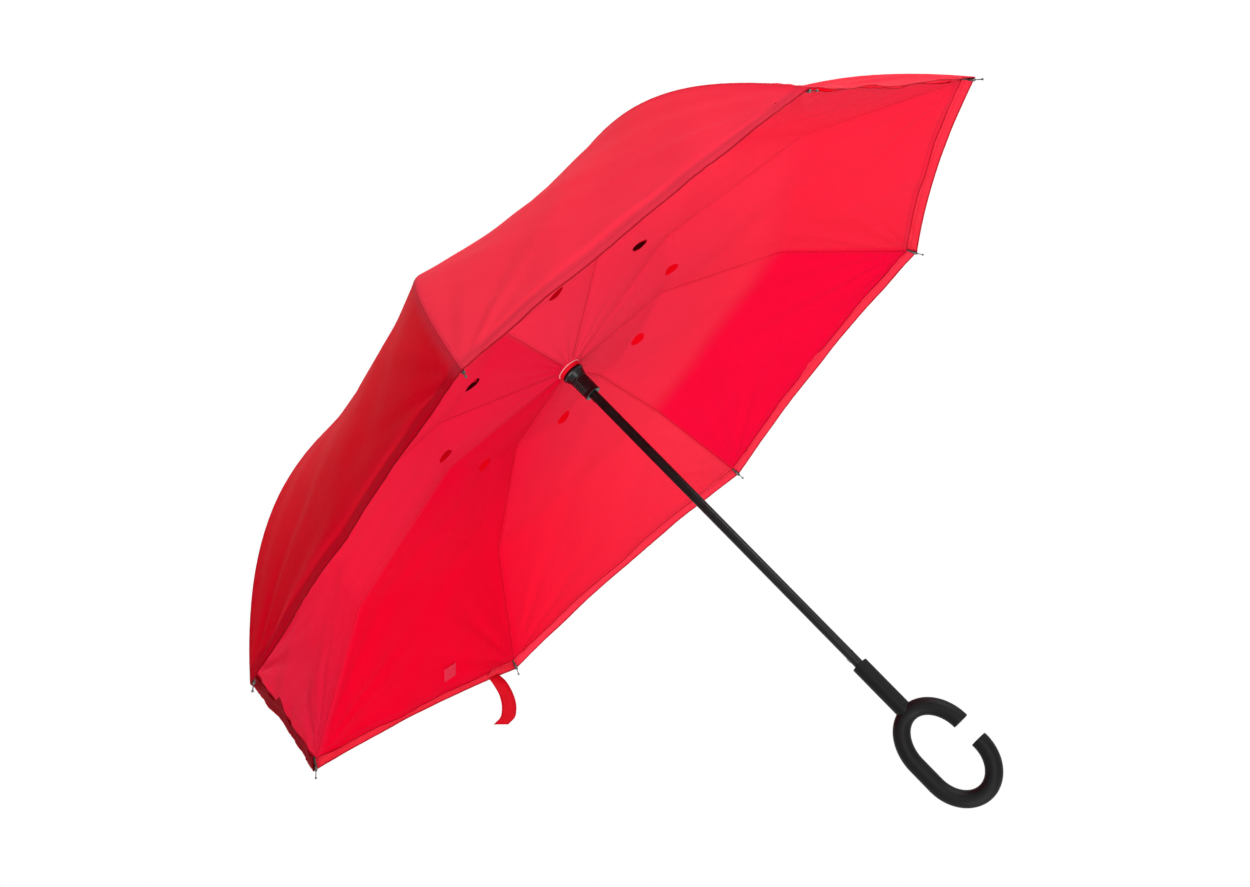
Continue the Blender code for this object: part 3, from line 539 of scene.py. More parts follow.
# the tip's (distance, radius): a pressed cap, a step and the pin
tip_rows = np.array(((0.0, 0.0), (0.0, 1.5), (0.3, 1.8), (7.2, 1.8), (7.7, 1.5), (8.2, 0.8), (8.8, 0.55))) * mm
ball_radius = 1.3 * mm
ball_beyond = 3.0 * mm
ball_below = 7.7 * mm
ball_end = 1.4 * mm
ball_neck = math.pi * 0.86

strip_black, strip_worn = (0.02, 0.02, 0.021), (0.10, 0.10, 0.105)
rib_paint = finish("rib_paint", strip_black, strip_worn, 2500.0, 90.0, (0.32, 0.5), 0.3, metallic=0.4)
knuckle_black, knuckle_worn = (0.03, 0.03, 0.032), (0.14, 0.14, 0.145)
knuckle_paint = finish("knuckle_paint", knuckle_black, knuckle_worn, 2500.0, 140.0, (0.3, 0.45), 0.3, metallic=0.6)
rod_black, rod_pale = (0.016, 0.016, 0.016), (0.035, 0.035, 0.034)
rod_fibreglass = finish("rod_fibreglass", rod_black, rod_pale, 1500.0, 70.0, (0.4, 0.55), 0.4)
tip_grey, tip_dark = (0.10, 0.095, 0.09), (0.05, 0.05, 0.05)
tip_steel = finish("tip_steel", tip_grey, tip_dark, 2600.0, 160.0, (0.28, 0.45), 0.3, metallic=0.9)


def with_distance(line):
    """Adds the distance gone, as a first column, to the (radius, height) points of a seam."""
    return np.column_stack((distances(line), line))


def outer_seam():
    """The outer cloth's seam over a rib: a straight slope to the knee, then a cubic curve down to the corner."""
    knee = np.array((knee_radius, rim_z + crown_rise - knee_radius * math.tan(crown_slope)))
    corner = np.array((corner_radius, rim_z))
    first = knee + knee_reach * np.array((math.cos(crown_slope), -math.sin(crown_slope)))
    second = corner - rim_reach * np.array((math.cos(rim_slope), -math.sin(rim_slope)))
    radius = np.linspace(seam_start, knee_radius, 1500)[:-1]
    slope = np.stack((radius, rim_z + crown_rise - radius * math.tan(crown_slope)), axis=-1)
    share = np.linspace(0, 1, 2500)[:, None]
    left = 1 - share
    curve = left**3 * knee + 3 * left**2 * share * first + 3 * left * share**2 * second + share**3 * corner
    return with_distance(np.vstack((slope, curve)))


outer_line = outer_seam()


def along_line(line, distance):
    """Radius and height on a seam at a distance."""
    return np.interp(distance, line[:, 0], line[:, 1]), np.interp(distance, line[:, 0], line[:, 2])


def distance_at(line, radius):
    """The distance gone along a seam where it reaches a radius."""
    return np.interp(radius, line[:, 1], line[:, 0])


def turned_to_rib(points, rib):
    """Points of rib 1 carried round the shaft to another rib."""
    cos, sin = math.cos(gore_angle * rib), math.sin(gore_angle * rib)
    return points @ np.array(((cos, sin, 0.0), (-sin, cos, 0.0), (0.0, 0.0, 1.0)))


def rod_path():
    """A line under the outer seam, square to it by the rod's depth, from the knuckle to the corner."""
    distance = np.linspace(distance_at(outer_line, elbow_radius), outer_line[-1, 0], 240)
    radius, height = along_line(outer_line, distance)
    way_r, way_z = np.gradient(radius), np.gradient(height)
    scale = rod_depth / np.hypot(way_r, way_z)
    return np.stack((radius + way_z * scale, 0 * radius, height - way_r * scale), axis=-1)


def make_ribs():
    """The rod is a bar along its path. The tip goes on along it, then straight to the ball at the cloth's corner."""
    for number in range(1, rib_count + 1):
        dress(rib_paint, f"inner_rib_{number}", f"stretcher_{number}")
        dress(knuckle_paint, f"rib_knuckle_{number}")
    path = rod_path()
    gone = distances(path)
    tangent = np.array((0.0, -1.0, 0.0))
    kept = path[gone > socket_depth]
    rod = swept(kept, tangent, *bar_rows(distances(kept)[-1], rod_radius, rod_edge, 90), 16)

    end = path[-1]
    ball = np.array((corner_radius + ball_beyond, 0.0, rim_z - ball_below))
    cap = path[gone > gone[-1] - socket_depth]
    to_ball = np.linspace(end, ball, 20)[1:]
    tip_path = np.vstack((cap, to_ball, ball + unit(ball - end) * ball_end))
    total = distances(tip_path)[-1]
    bulge = np.linspace(ball_neck, 0, 14)
    tip_distance = np.concatenate((tip_rows[:, 0], total - ball_end + ball_radius * np.cos(bulge)))
    tip_distance[-1] = total
    tip_radii = np.concatenate((tip_rows[:, 1], ball_radius * np.sin(bulge)))
    tip = swept(tip_path, tangent, tip_distance, tip_radii, 24)
    for rib in range(rib_count):
        number = rib + 1
        for name, points, look, slot, node_name in (
            ("rod", rod, rod_fibreglass, "rod_fibreglass", "outer_rod"),
            ("tip", tip, tip_steel, "tip_metal", "rib_tip"),
        ):
            piece = welded(shaped(f"{name}_{number}", turned_to_rib(points, rib), look))
            part_of(f"outer_rib_{number}", slot, f"{node_name}_{number}", piece)


make_ribs()


# OUTER CLOTH
# Eight gores of red pongee sewn into one sheet over the ribs, hemmed at the rim, clamped at the crown and
# tied to the ribs. For folding it is parted in mid-gore and at the elbows, edge to edge when open.
outer_arches = np.array((0.02, 0.018, 0.026, 0.026, 0.024, 0.019, 0.016, 0.02))
outer_sag = 11.2 * mm
outer_sag_radius = 340.0 * mm
outer_sag_spread = 125.0 * mm
drawn_gore = 1
drawn_sag = 7.0 * mm
drawn_radius = 470.0 * mm
drawn_spread = 60.0 * mm
crown_piece_radius = 16.0 * mm
fold_reach = 200.0 * mm
parted = math.cos(half_gore) ** 2
outer_keep = 0.15
hem_width = 15.0 * mm
hem_gap = 0.7 * mm
hem_rows = np.array((0.25, 0.5, 0.7, 0.8, 0.86, 0.92, 1.0, 1.04))
seam_columns = np.array((0.0, 0.6, 1.2, 1.8, 2.6, 3.5, 4.8, 6.5)) * mm
seam_room = 30.0 * mm
gore_columns = 26
fold_seed = np.random.default_rng(17)
outer_phases = fold_seed.uniform(0, full_turn, (rib_count, 16))
# the heights of its slow waves, corner fans, hem puckers, seam puckers and hub pleats
outer_folds = (0.8 * mm, 1.6 * mm, 0.35 * mm, 0.45 * mm, 0.25 * mm)
# how fast the waves run, in radians a metre; a slow one runs across and along a gore, with a share of the height
slow_waves = ((38, 21, 1.0), (-47, 33, 0.7), (74, 51, 0.45), (-101, 64, 0.3))
slow_clear = 35.0 * mm
fan_waves = (13, 23)
fan_reach, fan_clear, fan_start = 120.0 * mm, 14.0 * mm, 30.0 * mm
fan_second = 0.5
hem_waves = (68, 330, 95)
hem_strength, hem_swing, hem_sway = 0.55, 0.45, 1.6
hem_reach, hem_clear = 16.0 * mm, 12.0 * mm
pucker_waves = (400, 70)
pucker_sway = 2.2
pucker_reach, pucker_clear = 11.0 * mm, 4.0 * mm
pleat_wave = 9
pleat_reach, pleat_clear = 60.0 * mm, 6.0 * mm
seam_fade = 50.0 * mm
welt_lift, welt_width = 0.22 * mm, 4.6 * mm
stitch_sink, stitch_spread = 0.42 * mm, 0.9 * mm


def bell(value, middle, spread):
    """1 at the middle, falling off as a bell on both sides."""
    return np.exp(-(((value - middle) / spread) ** 2))


def clear(gap, reach):
    """0 at a seam, rising to 1 beyond a reach from it."""
    return 1 - bell(gap, 0, reach)


def gore_place(line, distance, azimuth):
    """The gore that a point is in, its angle from mid-gore and its radius on the seam; and how far it lies along
    the chord from mid-gore, and from the nearer rib."""
    gore = (azimuth // gore_angle).astype(int) % rib_count
    off = azimuth % gore_angle - half_gore
    radius = along_line(line, distance)[0]
    across = radius * math.cos(half_gore) * np.tan(off)
    return gore, off, radius, across, radius * math.sin(half_gore) - np.abs(across)


def panel(line, fixed, arches, sag, distance, azimuth):
    """The plain panels: from each point of a rib's seam the cloth runs on the chord to the same point of the
    next rib. Towards mid-gore it sags square to the seam, and beyond a fixed distance it is cut back up the
    seam, so that the rim arches; both grow with the square of the way from the rib."""
    gore, off = gore_place(line, distance, azimuth)[:2]
    middle = 1 - (np.tan(off) / math.tan(half_gore)) ** 2
    laid = distance - arches[gore] * middle * np.maximum(distance - fixed, 0)
    radius, height = along_line(line, laid)
    before, after = along_line(line, laid - mm), along_line(line, laid + mm)
    way_r, way_z = after[0] - before[0], after[1] - before[1]
    drop = middle * sag(radius, gore) / np.hypot(way_r, way_z)
    out = (radius + drop * way_z) * math.cos(half_gore) / np.cos(off)
    return np.stack((out * np.cos(azimuth), out * np.sin(azimuth), height - drop * way_r), axis=-1)


def upward(surface, distance, azimuth):
    """The upward direction square to a surface, from points half a millimetre to each side."""
    step = 0.5 * mm
    turn = step / np.maximum(along_line(outer_line, distance)[0], 5 * mm)
    along = surface(distance + step, azimuth) - surface(distance - step, azimuth)
    across = surface(distance, azimuth + turn) - surface(distance, azimuth - turn)
    return unit(np.cross(along, across))


def folds(line, phases, sizes, distance, azimuth):
    """Heights of the soft folds, as sums of waves: slow waves over the gore, fans from its two corners, puckers
    along the hem and beside the seams, and pleats at the hub. Every wave dies out at the ribs."""
    slow, fan, hem, pucker, pleat = sizes
    gore, off, radius, across, to_rib = gore_place(line, distance, azimuth)
    phase = np.moveaxis(phases[gore], -1, 0)
    to_rib = np.maximum(to_rib, 0)
    left = np.maximum(line[-1, 0] - distance, 0)

    waves = [size * np.sin(wide * across + long * distance + start)
             for (wide, long, size), start in zip(slow_waves, phase)]
    lift = slow * clear(to_rib, slow_clear) * sum(waves)
    for sign, number in ((1, 4), (-1, 5)):
        gap = radius * math.sin(half_gore) - sign * across
        reach = np.hypot(gap, left)
        bearing = np.arctan2(gap, left + 2 * mm)
        wave = np.sin(fan_waves[0] * bearing + phase[number])
        wave += fan_second * np.sin(fan_waves[1] * bearing + phase[number + 4])
        near_corner = np.exp(-reach / fan_reach) * clear(gap, fan_clear) * (1 - np.exp(-reach / fan_start))
        lift += fan * wave * near_corner
    near_hem = np.exp(-left / hem_reach) * clear(to_rib, hem_clear)
    strong, quick, sway = (wave * across for wave in hem_waves)
    strength = hem_strength + hem_swing * np.sin(strong + phase[6])
    lift += hem * near_hem * strength * np.sin(quick + hem_sway * np.sin(sway + phase[7]))
    near_rib = np.exp(-to_rib / pucker_reach) * clear(to_rib, pucker_clear)
    quick, sway = (wave * distance for wave in pucker_waves)
    lift += pucker * near_rib * np.sin(quick + pucker_sway * np.sin(sway + phase[10]) + phase[11])
    near_hub = np.exp(-distance / pleat_reach) * clear(to_rib, pleat_clear)
    return lift + pleat * near_hub * np.sin(pleat_wave * off / half_gore + phase[12])


def seam_relief(line, distance, azimuth):
    """The sewn seam along a rib: a narrow sunk line between two faint welts where the cloth is doubled."""
    radius, _, to_rib = gore_place(line, distance, azimuth)[2:]
    welts = welt_lift * np.exp(-((to_rib / welt_width) ** 4))
    return np.clip(radius / seam_fade, 0, 1) * (welts - stitch_sink * bell(to_rib, 0, stitch_spread))


def outer_sag_at(radius, gore):
    """The outer panels sag as a bell over the radius, most beside the knee; one is drawn in near its rim as well."""
    sag = outer_sag * bell(radius, outer_sag_radius, outer_sag_spread)
    return sag + (gore == drawn_gore) * drawn_sag * bell(radius, drawn_radius, drawn_spread)


def outer_panel(distance, azimuth):
    """The outer panels arch from the knee to the rim."""
    return panel(outer_line, distance_at(outer_line, knee_radius), outer_arches, outer_sag_at, distance, azimuth)


def outer_cloth(distance, azimuth):
    """The plain panels, lifted square to themselves by the folds and the seams."""
    lift = folds(outer_line, outer_phases, outer_folds, distance, azimuth) + seam_relief(outer_line, distance, azimuth)
    return outer_panel(distance, azimuth) + lift[..., None] * upward(outer_panel, distance, azimuth)


def petal_rows(start, end, count):
    """Distances of a petal's rows, with one more beyond each end for the slopes there."""
    step = (end - start) / (count - 1)
    return np.linspace(start - step, end + step, count + 2)


def petal_columns(line, rows, rib, cut):
    """Azimuths of a petal's columns at each row: set distances beside the rib, then even ones to mid-gore, less
    half the cut that a vent makes there; one more column beyond each side is for the slopes."""
    radius = along_line(line, rows)[0][:, None]
    chord = radius * math.sin(half_gore)
    close = seam_columns[None, :] * np.minimum(chord / seam_room, 1.0)
    edge = chord - np.reshape(cut, (-1, 1))
    share = np.arange(1, gore_columns + 2)[None, :] / gore_columns
    far = close[:, -1:] + (edge - close[:, -1:]) * share
    out = np.concatenate((close, far), axis=1)
    off = half_gore - np.arctan((chord - out) / (radius * math.cos(half_gore)))
    return gore_angle * rib + np.concatenate((-off[:, :0:-1], off), axis=1)


def cloth_maps(line, distance, azimuth, rib, under=False):
    """Each point's place on the laid-out cloth, from mid-gore and from the hub, on past the rim for what is turned
    under; and its distances from its rib and from the rim."""
    across, to_rib = gore_place(line, distance, azimuth)[3:]
    rim = line[-1, 0]
    gone = 2 * rim - distance if under else distance
    return np.stack((np.abs(across), gone, to_rib * np.sign(azimuth - gore_angle * rib), rim - distance), axis=-1)


def lay_out(piece, places, layer="cloth"):
    """Gives the corners of a piece's faces their places on a layer of its laid-out cloth."""
    corner = np.zeros(len(piece.data.loops), np.int32)
    piece.data.loops.foreach_get("vertex_index", corner)
    flat = places.reshape(-1, 2)[corner].astype(np.float32)
    piece.data.uv_layers.new(name=layer).data.foreach_set("uv", flat.ravel())


def squared(line, distance, turn, hinge, reach):
    """Moves the rows near a rib's hinge outwards towards mid-gore, fading out over a reach, so that the hinge's own
    row is straight and square to the rib; the cloth parts there, and folds without a gap."""
    radius = along_line(line, hinge)[0] * np.cos(np.abs(turn) - half_gore) / (math.cos(half_gore) * np.cos(turn))
    share = np.clip(1 - np.abs(distance - hinge) / reach, 0, 1)
    return distance + (distance_at(line, radius) - hinge) * share**2 * (3 - 2 * share)


def petal(name, line, surface, rib, rows, look, up, hinge, reach=fold_reach, cut=0.0, hem=None):
    """A piece of one rib's cloth on one side of its hinge, from a grid with one spare row and column on every
    side, which give the edges' slopes; a hem's rows, which turn under at the rim, take the place of the last."""
    rows = rows[:-1] if hem else rows
    azimuth = petal_columns(line, rows, rib, cut)
    distance = squared(line, rows[:, None] + 0 * azimuth, azimuth - gore_angle * rib, hinge, reach)
    points, maps = surface(distance, azimuth), cloth_maps(line, distance, azimuth, rib)
    if hem:
        added, added_maps = turned_under(line, surface, azimuth[-1], rib, up, *hem)
        points, maps = np.concatenate((points, added)), np.concatenate((maps, added_maps))
    square = unit(np.cross(np.gradient(points, axis=0), np.gradient(points, axis=1)))
    inside = (slice(1, -1), slice(1, -1))
    piece = shaped(name, points[inside], look, closed=False, flipped=up)
    lay_out(piece, maps[inside][..., :2])
    lay_out(piece, maps[inside][..., 2:], "seams")
    piece.data.normals_split_custom_set_from_vertices((square if up else -square)[inside].reshape(-1, 3))
    return piece


def turned_under(line, surface, azimuth, rib, up, width, gap):
    """A hem's rows: round the fold in a small half circle, then back along the cloth, lower by the gap."""
    rim = line[-1, 0]
    bend = np.linspace(0, math.pi, 6)[1:]
    distance = np.concatenate((np.full(len(bend), rim), rim - hem_rows * width))
    beyond = np.concatenate((gap / 2 * np.sin(bend), 0 * hem_rows))[:, None, None]
    lower = np.concatenate((gap / 2 * (1 - np.cos(bend)), gap + 0 * hem_rows))[:, None, None]
    rows = distance[:, None] + 0 * azimuth
    azimuth = azimuth + 0 * rows
    square = upward(surface, np.minimum(rows, rim - mm), azimuth) * (1 if up else -1)
    ahead = unit(surface(rim + 0 * rows, azimuth) - surface(rim - mm + 0 * rows, azimuth))
    points = surface(rows, azimuth) + beyond * ahead - lower * square
    return points, cloth_maps(line, rows, azimuth, rib, under=True)


def split(tree, vector):
    """A vector's three numbers."""
    return node(tree, "ShaderNodeSeparateXYZ", {0: vector}).outputs


def make_weave_group():
    """Plain weave from two crossed sines on the laid-out cloth, with long thin slubs along both threads."""
    tree, given, result = new_group("pongee_weave", ("Vector", "Threads"), ("Height", "Slubs"))
    waves = [maths(tree, "SINE", maths(tree, "MULTIPLY", part, given["Threads"]))
             for part in split(tree, given["Vector"])[:2]]
    streaks = []
    for scale in ((1400.0, 45.0, 1.0), (45.0, 1400.0, 1.0)):
        stretched = node(tree, "ShaderNodeMapping", {"Vector": given["Vector"], "Scale": scale}).outputs[0]
        streaks.append(noise(tree, stretched, 1.0, 1.0))
    slubs = maths(tree, "MULTIPLY", maths(tree, "ADD", *streaks), 0.5)
    feed(tree, result, {
        "Height": maths(tree, "MULTIPLY_ADD", slubs, 1.5, maths(tree, "MULTIPLY", *waves)),
        "Slubs": ranged(tree, slubs, 0.35, 0.65, 0.0, 1.0),
    })
    return tree


def make_stitch_group():
    """A sewn line: a mask of short stitches where the distance across is at the line's place."""
    tree, given, result = new_group("stitch_line", ("Across", "Along", "Place", "Width", "Pitch"), ("Thread", "Dent"))
    gap = maths(tree, "ABSOLUTE", maths(tree, "SUBTRACT", maths(tree, "ABSOLUTE", given["Across"]), given["Place"]))
    near = maths(tree, "SUBTRACT", 1.0, maths(tree, "DIVIDE", gap, given["Width"]))
    line = ranged(tree, near, 0.0, 0.6, 0.0, 1.0, smooth=True)
    count = maths(tree, "FRACT", maths(tree, "DIVIDE", given["Along"], given["Pitch"]))
    phase = maths(tree, "ABSOLUTE", maths(tree, "SUBTRACT", count, 0.5))
    stitch = ranged(tree, phase, 0.32, 0.42, 1.0, 0.0, smooth=True)
    feed(tree, result, {
        "Thread": maths(tree, "MULTIPLY", line, stitch),
        "Dent": ranged(tree, near, -2.5, 0.8, 0.0, 1.0, smooth=True),
    })
    return tree


pongee_weave = make_weave_group()
stitch_line = make_stitch_group()


def by_panel(tree, place, lit_shaded_reds):
    """Picks the red of the gore that a point is in, with that gore's painted light and shade, or a blend from one rib
    to the next where a gore has two.
    """
    parts = split(tree, place)
    turn = ranged(tree, maths(tree, "ARCTAN2", parts[1], parts[0]), -math.pi, math.pi, 0.0, 1.0)
    picked = node(tree, "ShaderNodeValToRGB", {0: turn})
    stops = picked.color_ramp.elements
    stops.remove(stops[1])
    for number in range(rib_count):
        red = lit_shaded_reds[(number + rib_count // 2) % rib_count]
        pair = red if len(red) == 2 else (red, red)
        first = stops.new(number / rib_count) if number else stops[0]
        last = stops.new((number + 0.998) / rib_count)
        first.color, last.color = ((*colour, 1.0) for colour in pair)
    return picked.outputs[0]


plain_red = (0.90, 0.018, 0.055)
# the gores' reds are painted light and shade: pinker and paler where a gore is lit, deeper where it is shaded
lit_shaded_outer_reds = [(0.93, 0.044, 0.089), (0.92, 0.03, 0.07)] + [plain_red] * 5 + [(0.86, 0.0, 0.022)]
# the turned-under hem's and the back's reds near the rim, one a gore: painted light where pink, painted shade where
# dark
lit_shaded_under_reds = [(0.35, 0.0, 0.01), (0.60, 0.004, 0.03)] + [(0.97, 0.055, 0.11)] * 3
lit_shaded_under_reds += [(0.95, 0.04, 0.08), (0.22, 0.0, 0.006), (0.30, 0.0, 0.01)]
slub_red = (0.70, 0.0, 0.015)
# the seams' and the rim's dark lines are partly the seams' own dark, partly painted shade; painted shade in the stitch
# dents too
seam_and_shade_red = (0.26, 0.001, 0.008)
thread_red = (0.80, 0.03, 0.06)
# painted shade on the side between the cloths, away from the rim, in its colour and in the light it lets through
painted_shade_red = (0.16, 0.0, 0.006)
cloth_glow = (1.0, 0.002, 0.018)
painted_shade_glow = (0.28, 0.0, 0.004)
light_passing = 0.32
pongee_threads = 7000.0
# the two distances between which the painted light and shade changes: about the bend, from the rim on the back, past
# the rim on the hem, from the rim between the cloths, and beside a seam's and the rim's dark line
bend_fade = (45.0 * mm, 15.0 * mm)
back_fade = (160.0 * mm, 80.0 * mm)
hem_fade = (0.5 * mm, 1.2 * mm)
painted_shade_fade, painted_shade_strength = (360.0 * mm, 300.0 * mm), 0.45
rib_line_fade, rib_line_dark = (0.4 * mm, 1.3 * mm), 0.5
rim_line_fade, rim_line_dark = (0.8 * mm, 1.9 * mm), 0.75
slub_share, dent_shade_share, thread_share, glow_share = 0.22, 0.15, 0.7, 0.8
stitching = {"Place": 2.6 * mm, "Width": 0.4 * mm, "Pitch": 2.6 * mm}
hem_stitch_width = 0.45 * mm
outer_hem_stitch = 9.2 * mm


def pongee(name, line, bend, lit_shaded_near_reds, lit_shaded_reds, lit_shaded_hem_reds, hem_stitch):
    """Red pongee: woven, a little mottled and crinkled, sewn along the ribs and the hem, letting light through. Each
    gore's red carries painted light and shade, one red on each side of the bend, and the turned-under hem and the back
    near the rim have painted light and shade of their own. Thin dark lines, partly the seams' own and partly painted
    shade, follow the seams and the rim's edge, and the side between the cloths has painted shade."""
    made, tree, shader, place = new_finish(name)
    laid, seams = (node(tree, "ShaderNodeUVMap", uv_map=layer).outputs[0] for layer in ("cloth", "seams"))
    from_rib, from_rim = split(tree, seams)[:2]
    gone = split(tree, laid)[1]
    rim = float(line[-1, 0])
    behind = node(tree, "ShaderNodeNewGeometry").outputs["Backfacing"]
    weave = use_group(tree, pongee_weave, {"Vector": laid, "Threads": pongee_threads})
    rib_sewn = use_group(tree, stitch_line, {"Across": from_rib, "Along": from_rim, **stitching})
    at_hem = {**stitching, "Place": hem_stitch, "Width": hem_stitch_width}
    hem_sewn = use_group(tree, stitch_line, {"Across": from_rim, "Along": from_rib, **at_hem})
    thread = maths(tree, "MAXIMUM", rib_sewn["Thread"], hem_sewn["Thread"])
    dent = maths(tree, "MAXIMUM", rib_sewn["Dent"], hem_sewn["Dent"])
    cloud = noise(tree, place, 9.0, 3.0)
    drift = maths(tree, "MULTIPLY_ADD", weave["Slubs"], 0.45, maths(tree, "MULTIPLY", cloud, 0.55))

    # the gores' painted light and shade, changing at the bend, and painted light and shade where the hem and the back
    # near the rim show
    outward = ranged(tree, gone, bend - bend_fade[0], bend + bend_fade[1], 0.0, 1.0, smooth=True)
    base = mixed(tree, outward, by_panel(tree, place, lit_shaded_near_reds), by_panel(tree, place, lit_shaded_reds))
    inside = maths(tree, "MULTIPLY", behind, ranged(tree, gone, rim - back_fade[0], rim - back_fade[1], 0.0, 1.0))
    under = maths(tree, "MAXIMUM", ranged(tree, gone, rim + hem_fade[0], rim + hem_fade[1], 0.0, 1.0), inside)
    # painted light and shade on the hem and on the back near the rim
    lit_shaded_band_red = by_panel(tree, place, lit_shaded_hem_reds)
    base = mixed(tree, maths(tree, "MULTIPLY", drift, slub_share), mixed(tree, under, base, lit_shaded_band_red), slub_red)

    # dark lines at the seams and the rim, partly their own dark and partly painted shade; painted shade in the dented
    # stitch lines and on the side between the cloths; the thread
    rib_line = ranged(tree, maths(tree, "ABSOLUTE", from_rib), *rib_line_fade, rib_line_dark, 0.0)
    rim_line = ranged(tree, maths(tree, "ABSOLUTE", from_rim), *rim_line_fade, rim_line_dark, 0.0)
    lines = maths(tree, "MAXIMUM", rib_line, rim_line)
    lines = maths(tree, "MAXIMUM", lines, maths(tree, "MULTIPLY", dent, dent_shade_share))
    shaded = mixed(tree, lines, base, seam_and_shade_red)
    # painted shade on the side between the cloths, deepest away from the rim
    shade_far_in = ranged(tree, gone, rim - painted_shade_fade[0], rim - painted_shade_fade[1], painted_shade_strength, 0.0)
    painted_shade = maths(tree, "MULTIPLY", behind, shade_far_in)
    shaded = mixed(tree, painted_shade, shaded, painted_shade_red)
    woven = bump(tree, weave["Height"], 0.12, 0.08 * mm)
    crinkled = bump(tree, noise(tree, place, 55.0, 3.0, 0.8), 0.16, 3 * mm, woven)
    sunk = bump(tree, dent, 0.5, 0.3 * mm, crinkled, sunk=True)
    feed(tree, shader, {
        "Base Color": mixed(tree, maths(tree, "MULTIPLY", thread, thread_share), shaded, thread_red),
        "Roughness": ranged(tree, weave["Slubs"], 0.0, 1.0, 0.62, 0.48),
        "Normal": bump(tree, thread, 0.6, 0.2 * mm, sunk),
        "Specular IOR Level": 0.03,
    })
    # the light passing through dims with the painted shade between the cloths, and takes the hem's painted light and
    # shade
    glow = mixed(tree, painted_shade, cloth_glow, painted_shade_glow)
    glow = mixed(tree, maths(tree, "MULTIPLY", under, glow_share), glow, lit_shaded_band_red)
    through = node(tree, "ShaderNodeBsdfTranslucent", {"Color": glow, "Normal": crinkled}).outputs[0]
    both = node(tree, "ShaderNodeMixShader", {0: light_passing, 1: shader.outputs[0], 2: through}).outputs[0]
    feed(tree, tree.nodes["Material Output"], {"Surface": both})
    return made


outer_pongee = pongee("outer_pongee", outer_line, 0.0, lit_shaded_outer_reds, lit_shaded_outer_reds, lit_shaded_under_reds, outer_hem_stitch)


def sheet_of(node_name):
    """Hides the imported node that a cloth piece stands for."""
    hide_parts(node_name)


def fold_with(piece, body):
    """Gives the piece its own mesh, and has it ride on its rib."""
    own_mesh(piece)
    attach(piece, body)


def sew_petals(layer, line, surface, look, up, rows, hinge, hem, halves, reach=fold_reach, cut=0.0):
    """Each rib carries two petals that part at its hinge. A half says which body it rides on, what it rests on, and
    its radius, length and keep; only the body is used. An upper one's cut is straight across, so that it is longest at
    mid-gore."""
    for rib in range(rib_count):
        number = rib + 1
        pieces = (
            petal(f"{layer}_cloth_upper_{number}", line, surface, rib, rows[0], look, up, hinge, reach, cut),
            petal(f"{layer}_cloth_lower_{number}", line, surface, rib, rows[1], look, up, hinge, hem=hem),
        )
        for piece, (body, rest, radius, length, keep) in zip(pieces, halves):
            sheet_of(f"{layer}_canopy")
            fold_with(piece, f"{body}_{number}")


def sew_middle(name, node_name, surface, look, up, radius, reach, rests_on, body):
    """The cloth's middle, a small round piece with the same surface, whose rows start on the cut edge."""
    distance = np.linspace(-0.5 * mm, reach + 0.5 * mm, 12)[1:-1, None]
    azimuth = np.linspace(0, full_turn, 97)[None, :] + 0 * distance
    distance = distance + 0 * azimuth
    piece = shaped(name, surface(distance, azimuth), look, closed=False, flipped=up)
    laid = np.stack((azimuth * 10 * mm, distance), axis=-1)
    lay_out(piece, laid)
    lay_out(piece, laid + 50 * mm, "seams")
    sheet_of(node_name)
    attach(piece, body)


def make_outer_cloth():
    """Its petals part at the elbows, and its middle stays at the crown."""
    start, elbow = distance_at(outer_line, crown_piece_radius), distance_at(outer_line, elbow_radius)
    rim = outer_line[-1, 0]
    cloth = (outer_cloth, outer_pongee, True)
    rows = petal_rows(start, elbow, 64), petal_rows(elbow, rim, 72)
    halves = (
        ("inner_rib", "inner_rib", elbow_radius / parted, (elbow - start) / parted, outer_keep),
        ("outer_rib", "rod", corner_radius, rim - elbow + hem_width, outer_keep),
    )
    sew_petals("outer", outer_line, *cloth, rows, elbow, (hem_width, hem_gap), halves)
    sew_middle("outer_cloth_crown", "outer_canopy", *cloth, crown_piece_radius, start, "crown_notch", "root")


make_outer_cloth()


# INNER CLOTH
# Eight more gores, sewn to the runner's ring and to the corners a little inside the outer rim. Each has a
# round vent. It hangs in flat facets that bend softly over the stretchers and again near the rim.
inner_hub = (12.0 * mm, rim_z + 107.5 * mm)
inner_ridge = (177.0 * mm, rim_z + 131.0 * mm)
inner_bend = (363.0 * mm, rim_z + 96.0 * mm)
inner_corner = (519.0 * mm, rim_z + 8.0 * mm)
bend_reach = 9.0 * mm
inner_arches = np.array((0.085, 0.085, 0.045, 0.025, 0.025, 0.0, 0.015, 0.085))
inner_billows = np.array((8.0, 4.0, 0.0, 6.0, 3.0, 0.0, 6.0, 8.0)) * mm
inner_ruffle = 3.0 * mm
inner_ruffle_length = 100.0 * mm
inner_ruffle_reach = 20.0 * mm
ruffled_gore = 6
inner_sag = 8.0 * mm
inner_sag_radius = 175.0 * mm
inner_sag_spread = 95.0 * mm
inner_hem_width = 8.0 * mm
inner_hem_gap = 0.5 * mm
inner_hem_stitch = 6.6 * mm
hub_piece_radius = 20.0 * mm
stretcher_reach = 290.0 * mm
upper_keep, lower_keep = 0.33, 0.22
vent_clear_reach = 90.0 * mm
vent_circle_radius = 170.0 * mm
vent_radius = 10.0 * mm
vent_room = 1.5 * mm
inner_phases = fold_seed.uniform(0, full_turn, (rib_count, 16))
# the heights of its folds, in the order of the outer cloth's
inner_folds = (1.0 * mm, 2.2 * mm, 0.4 * mm, 0.4 * mm, 1.2 * mm)
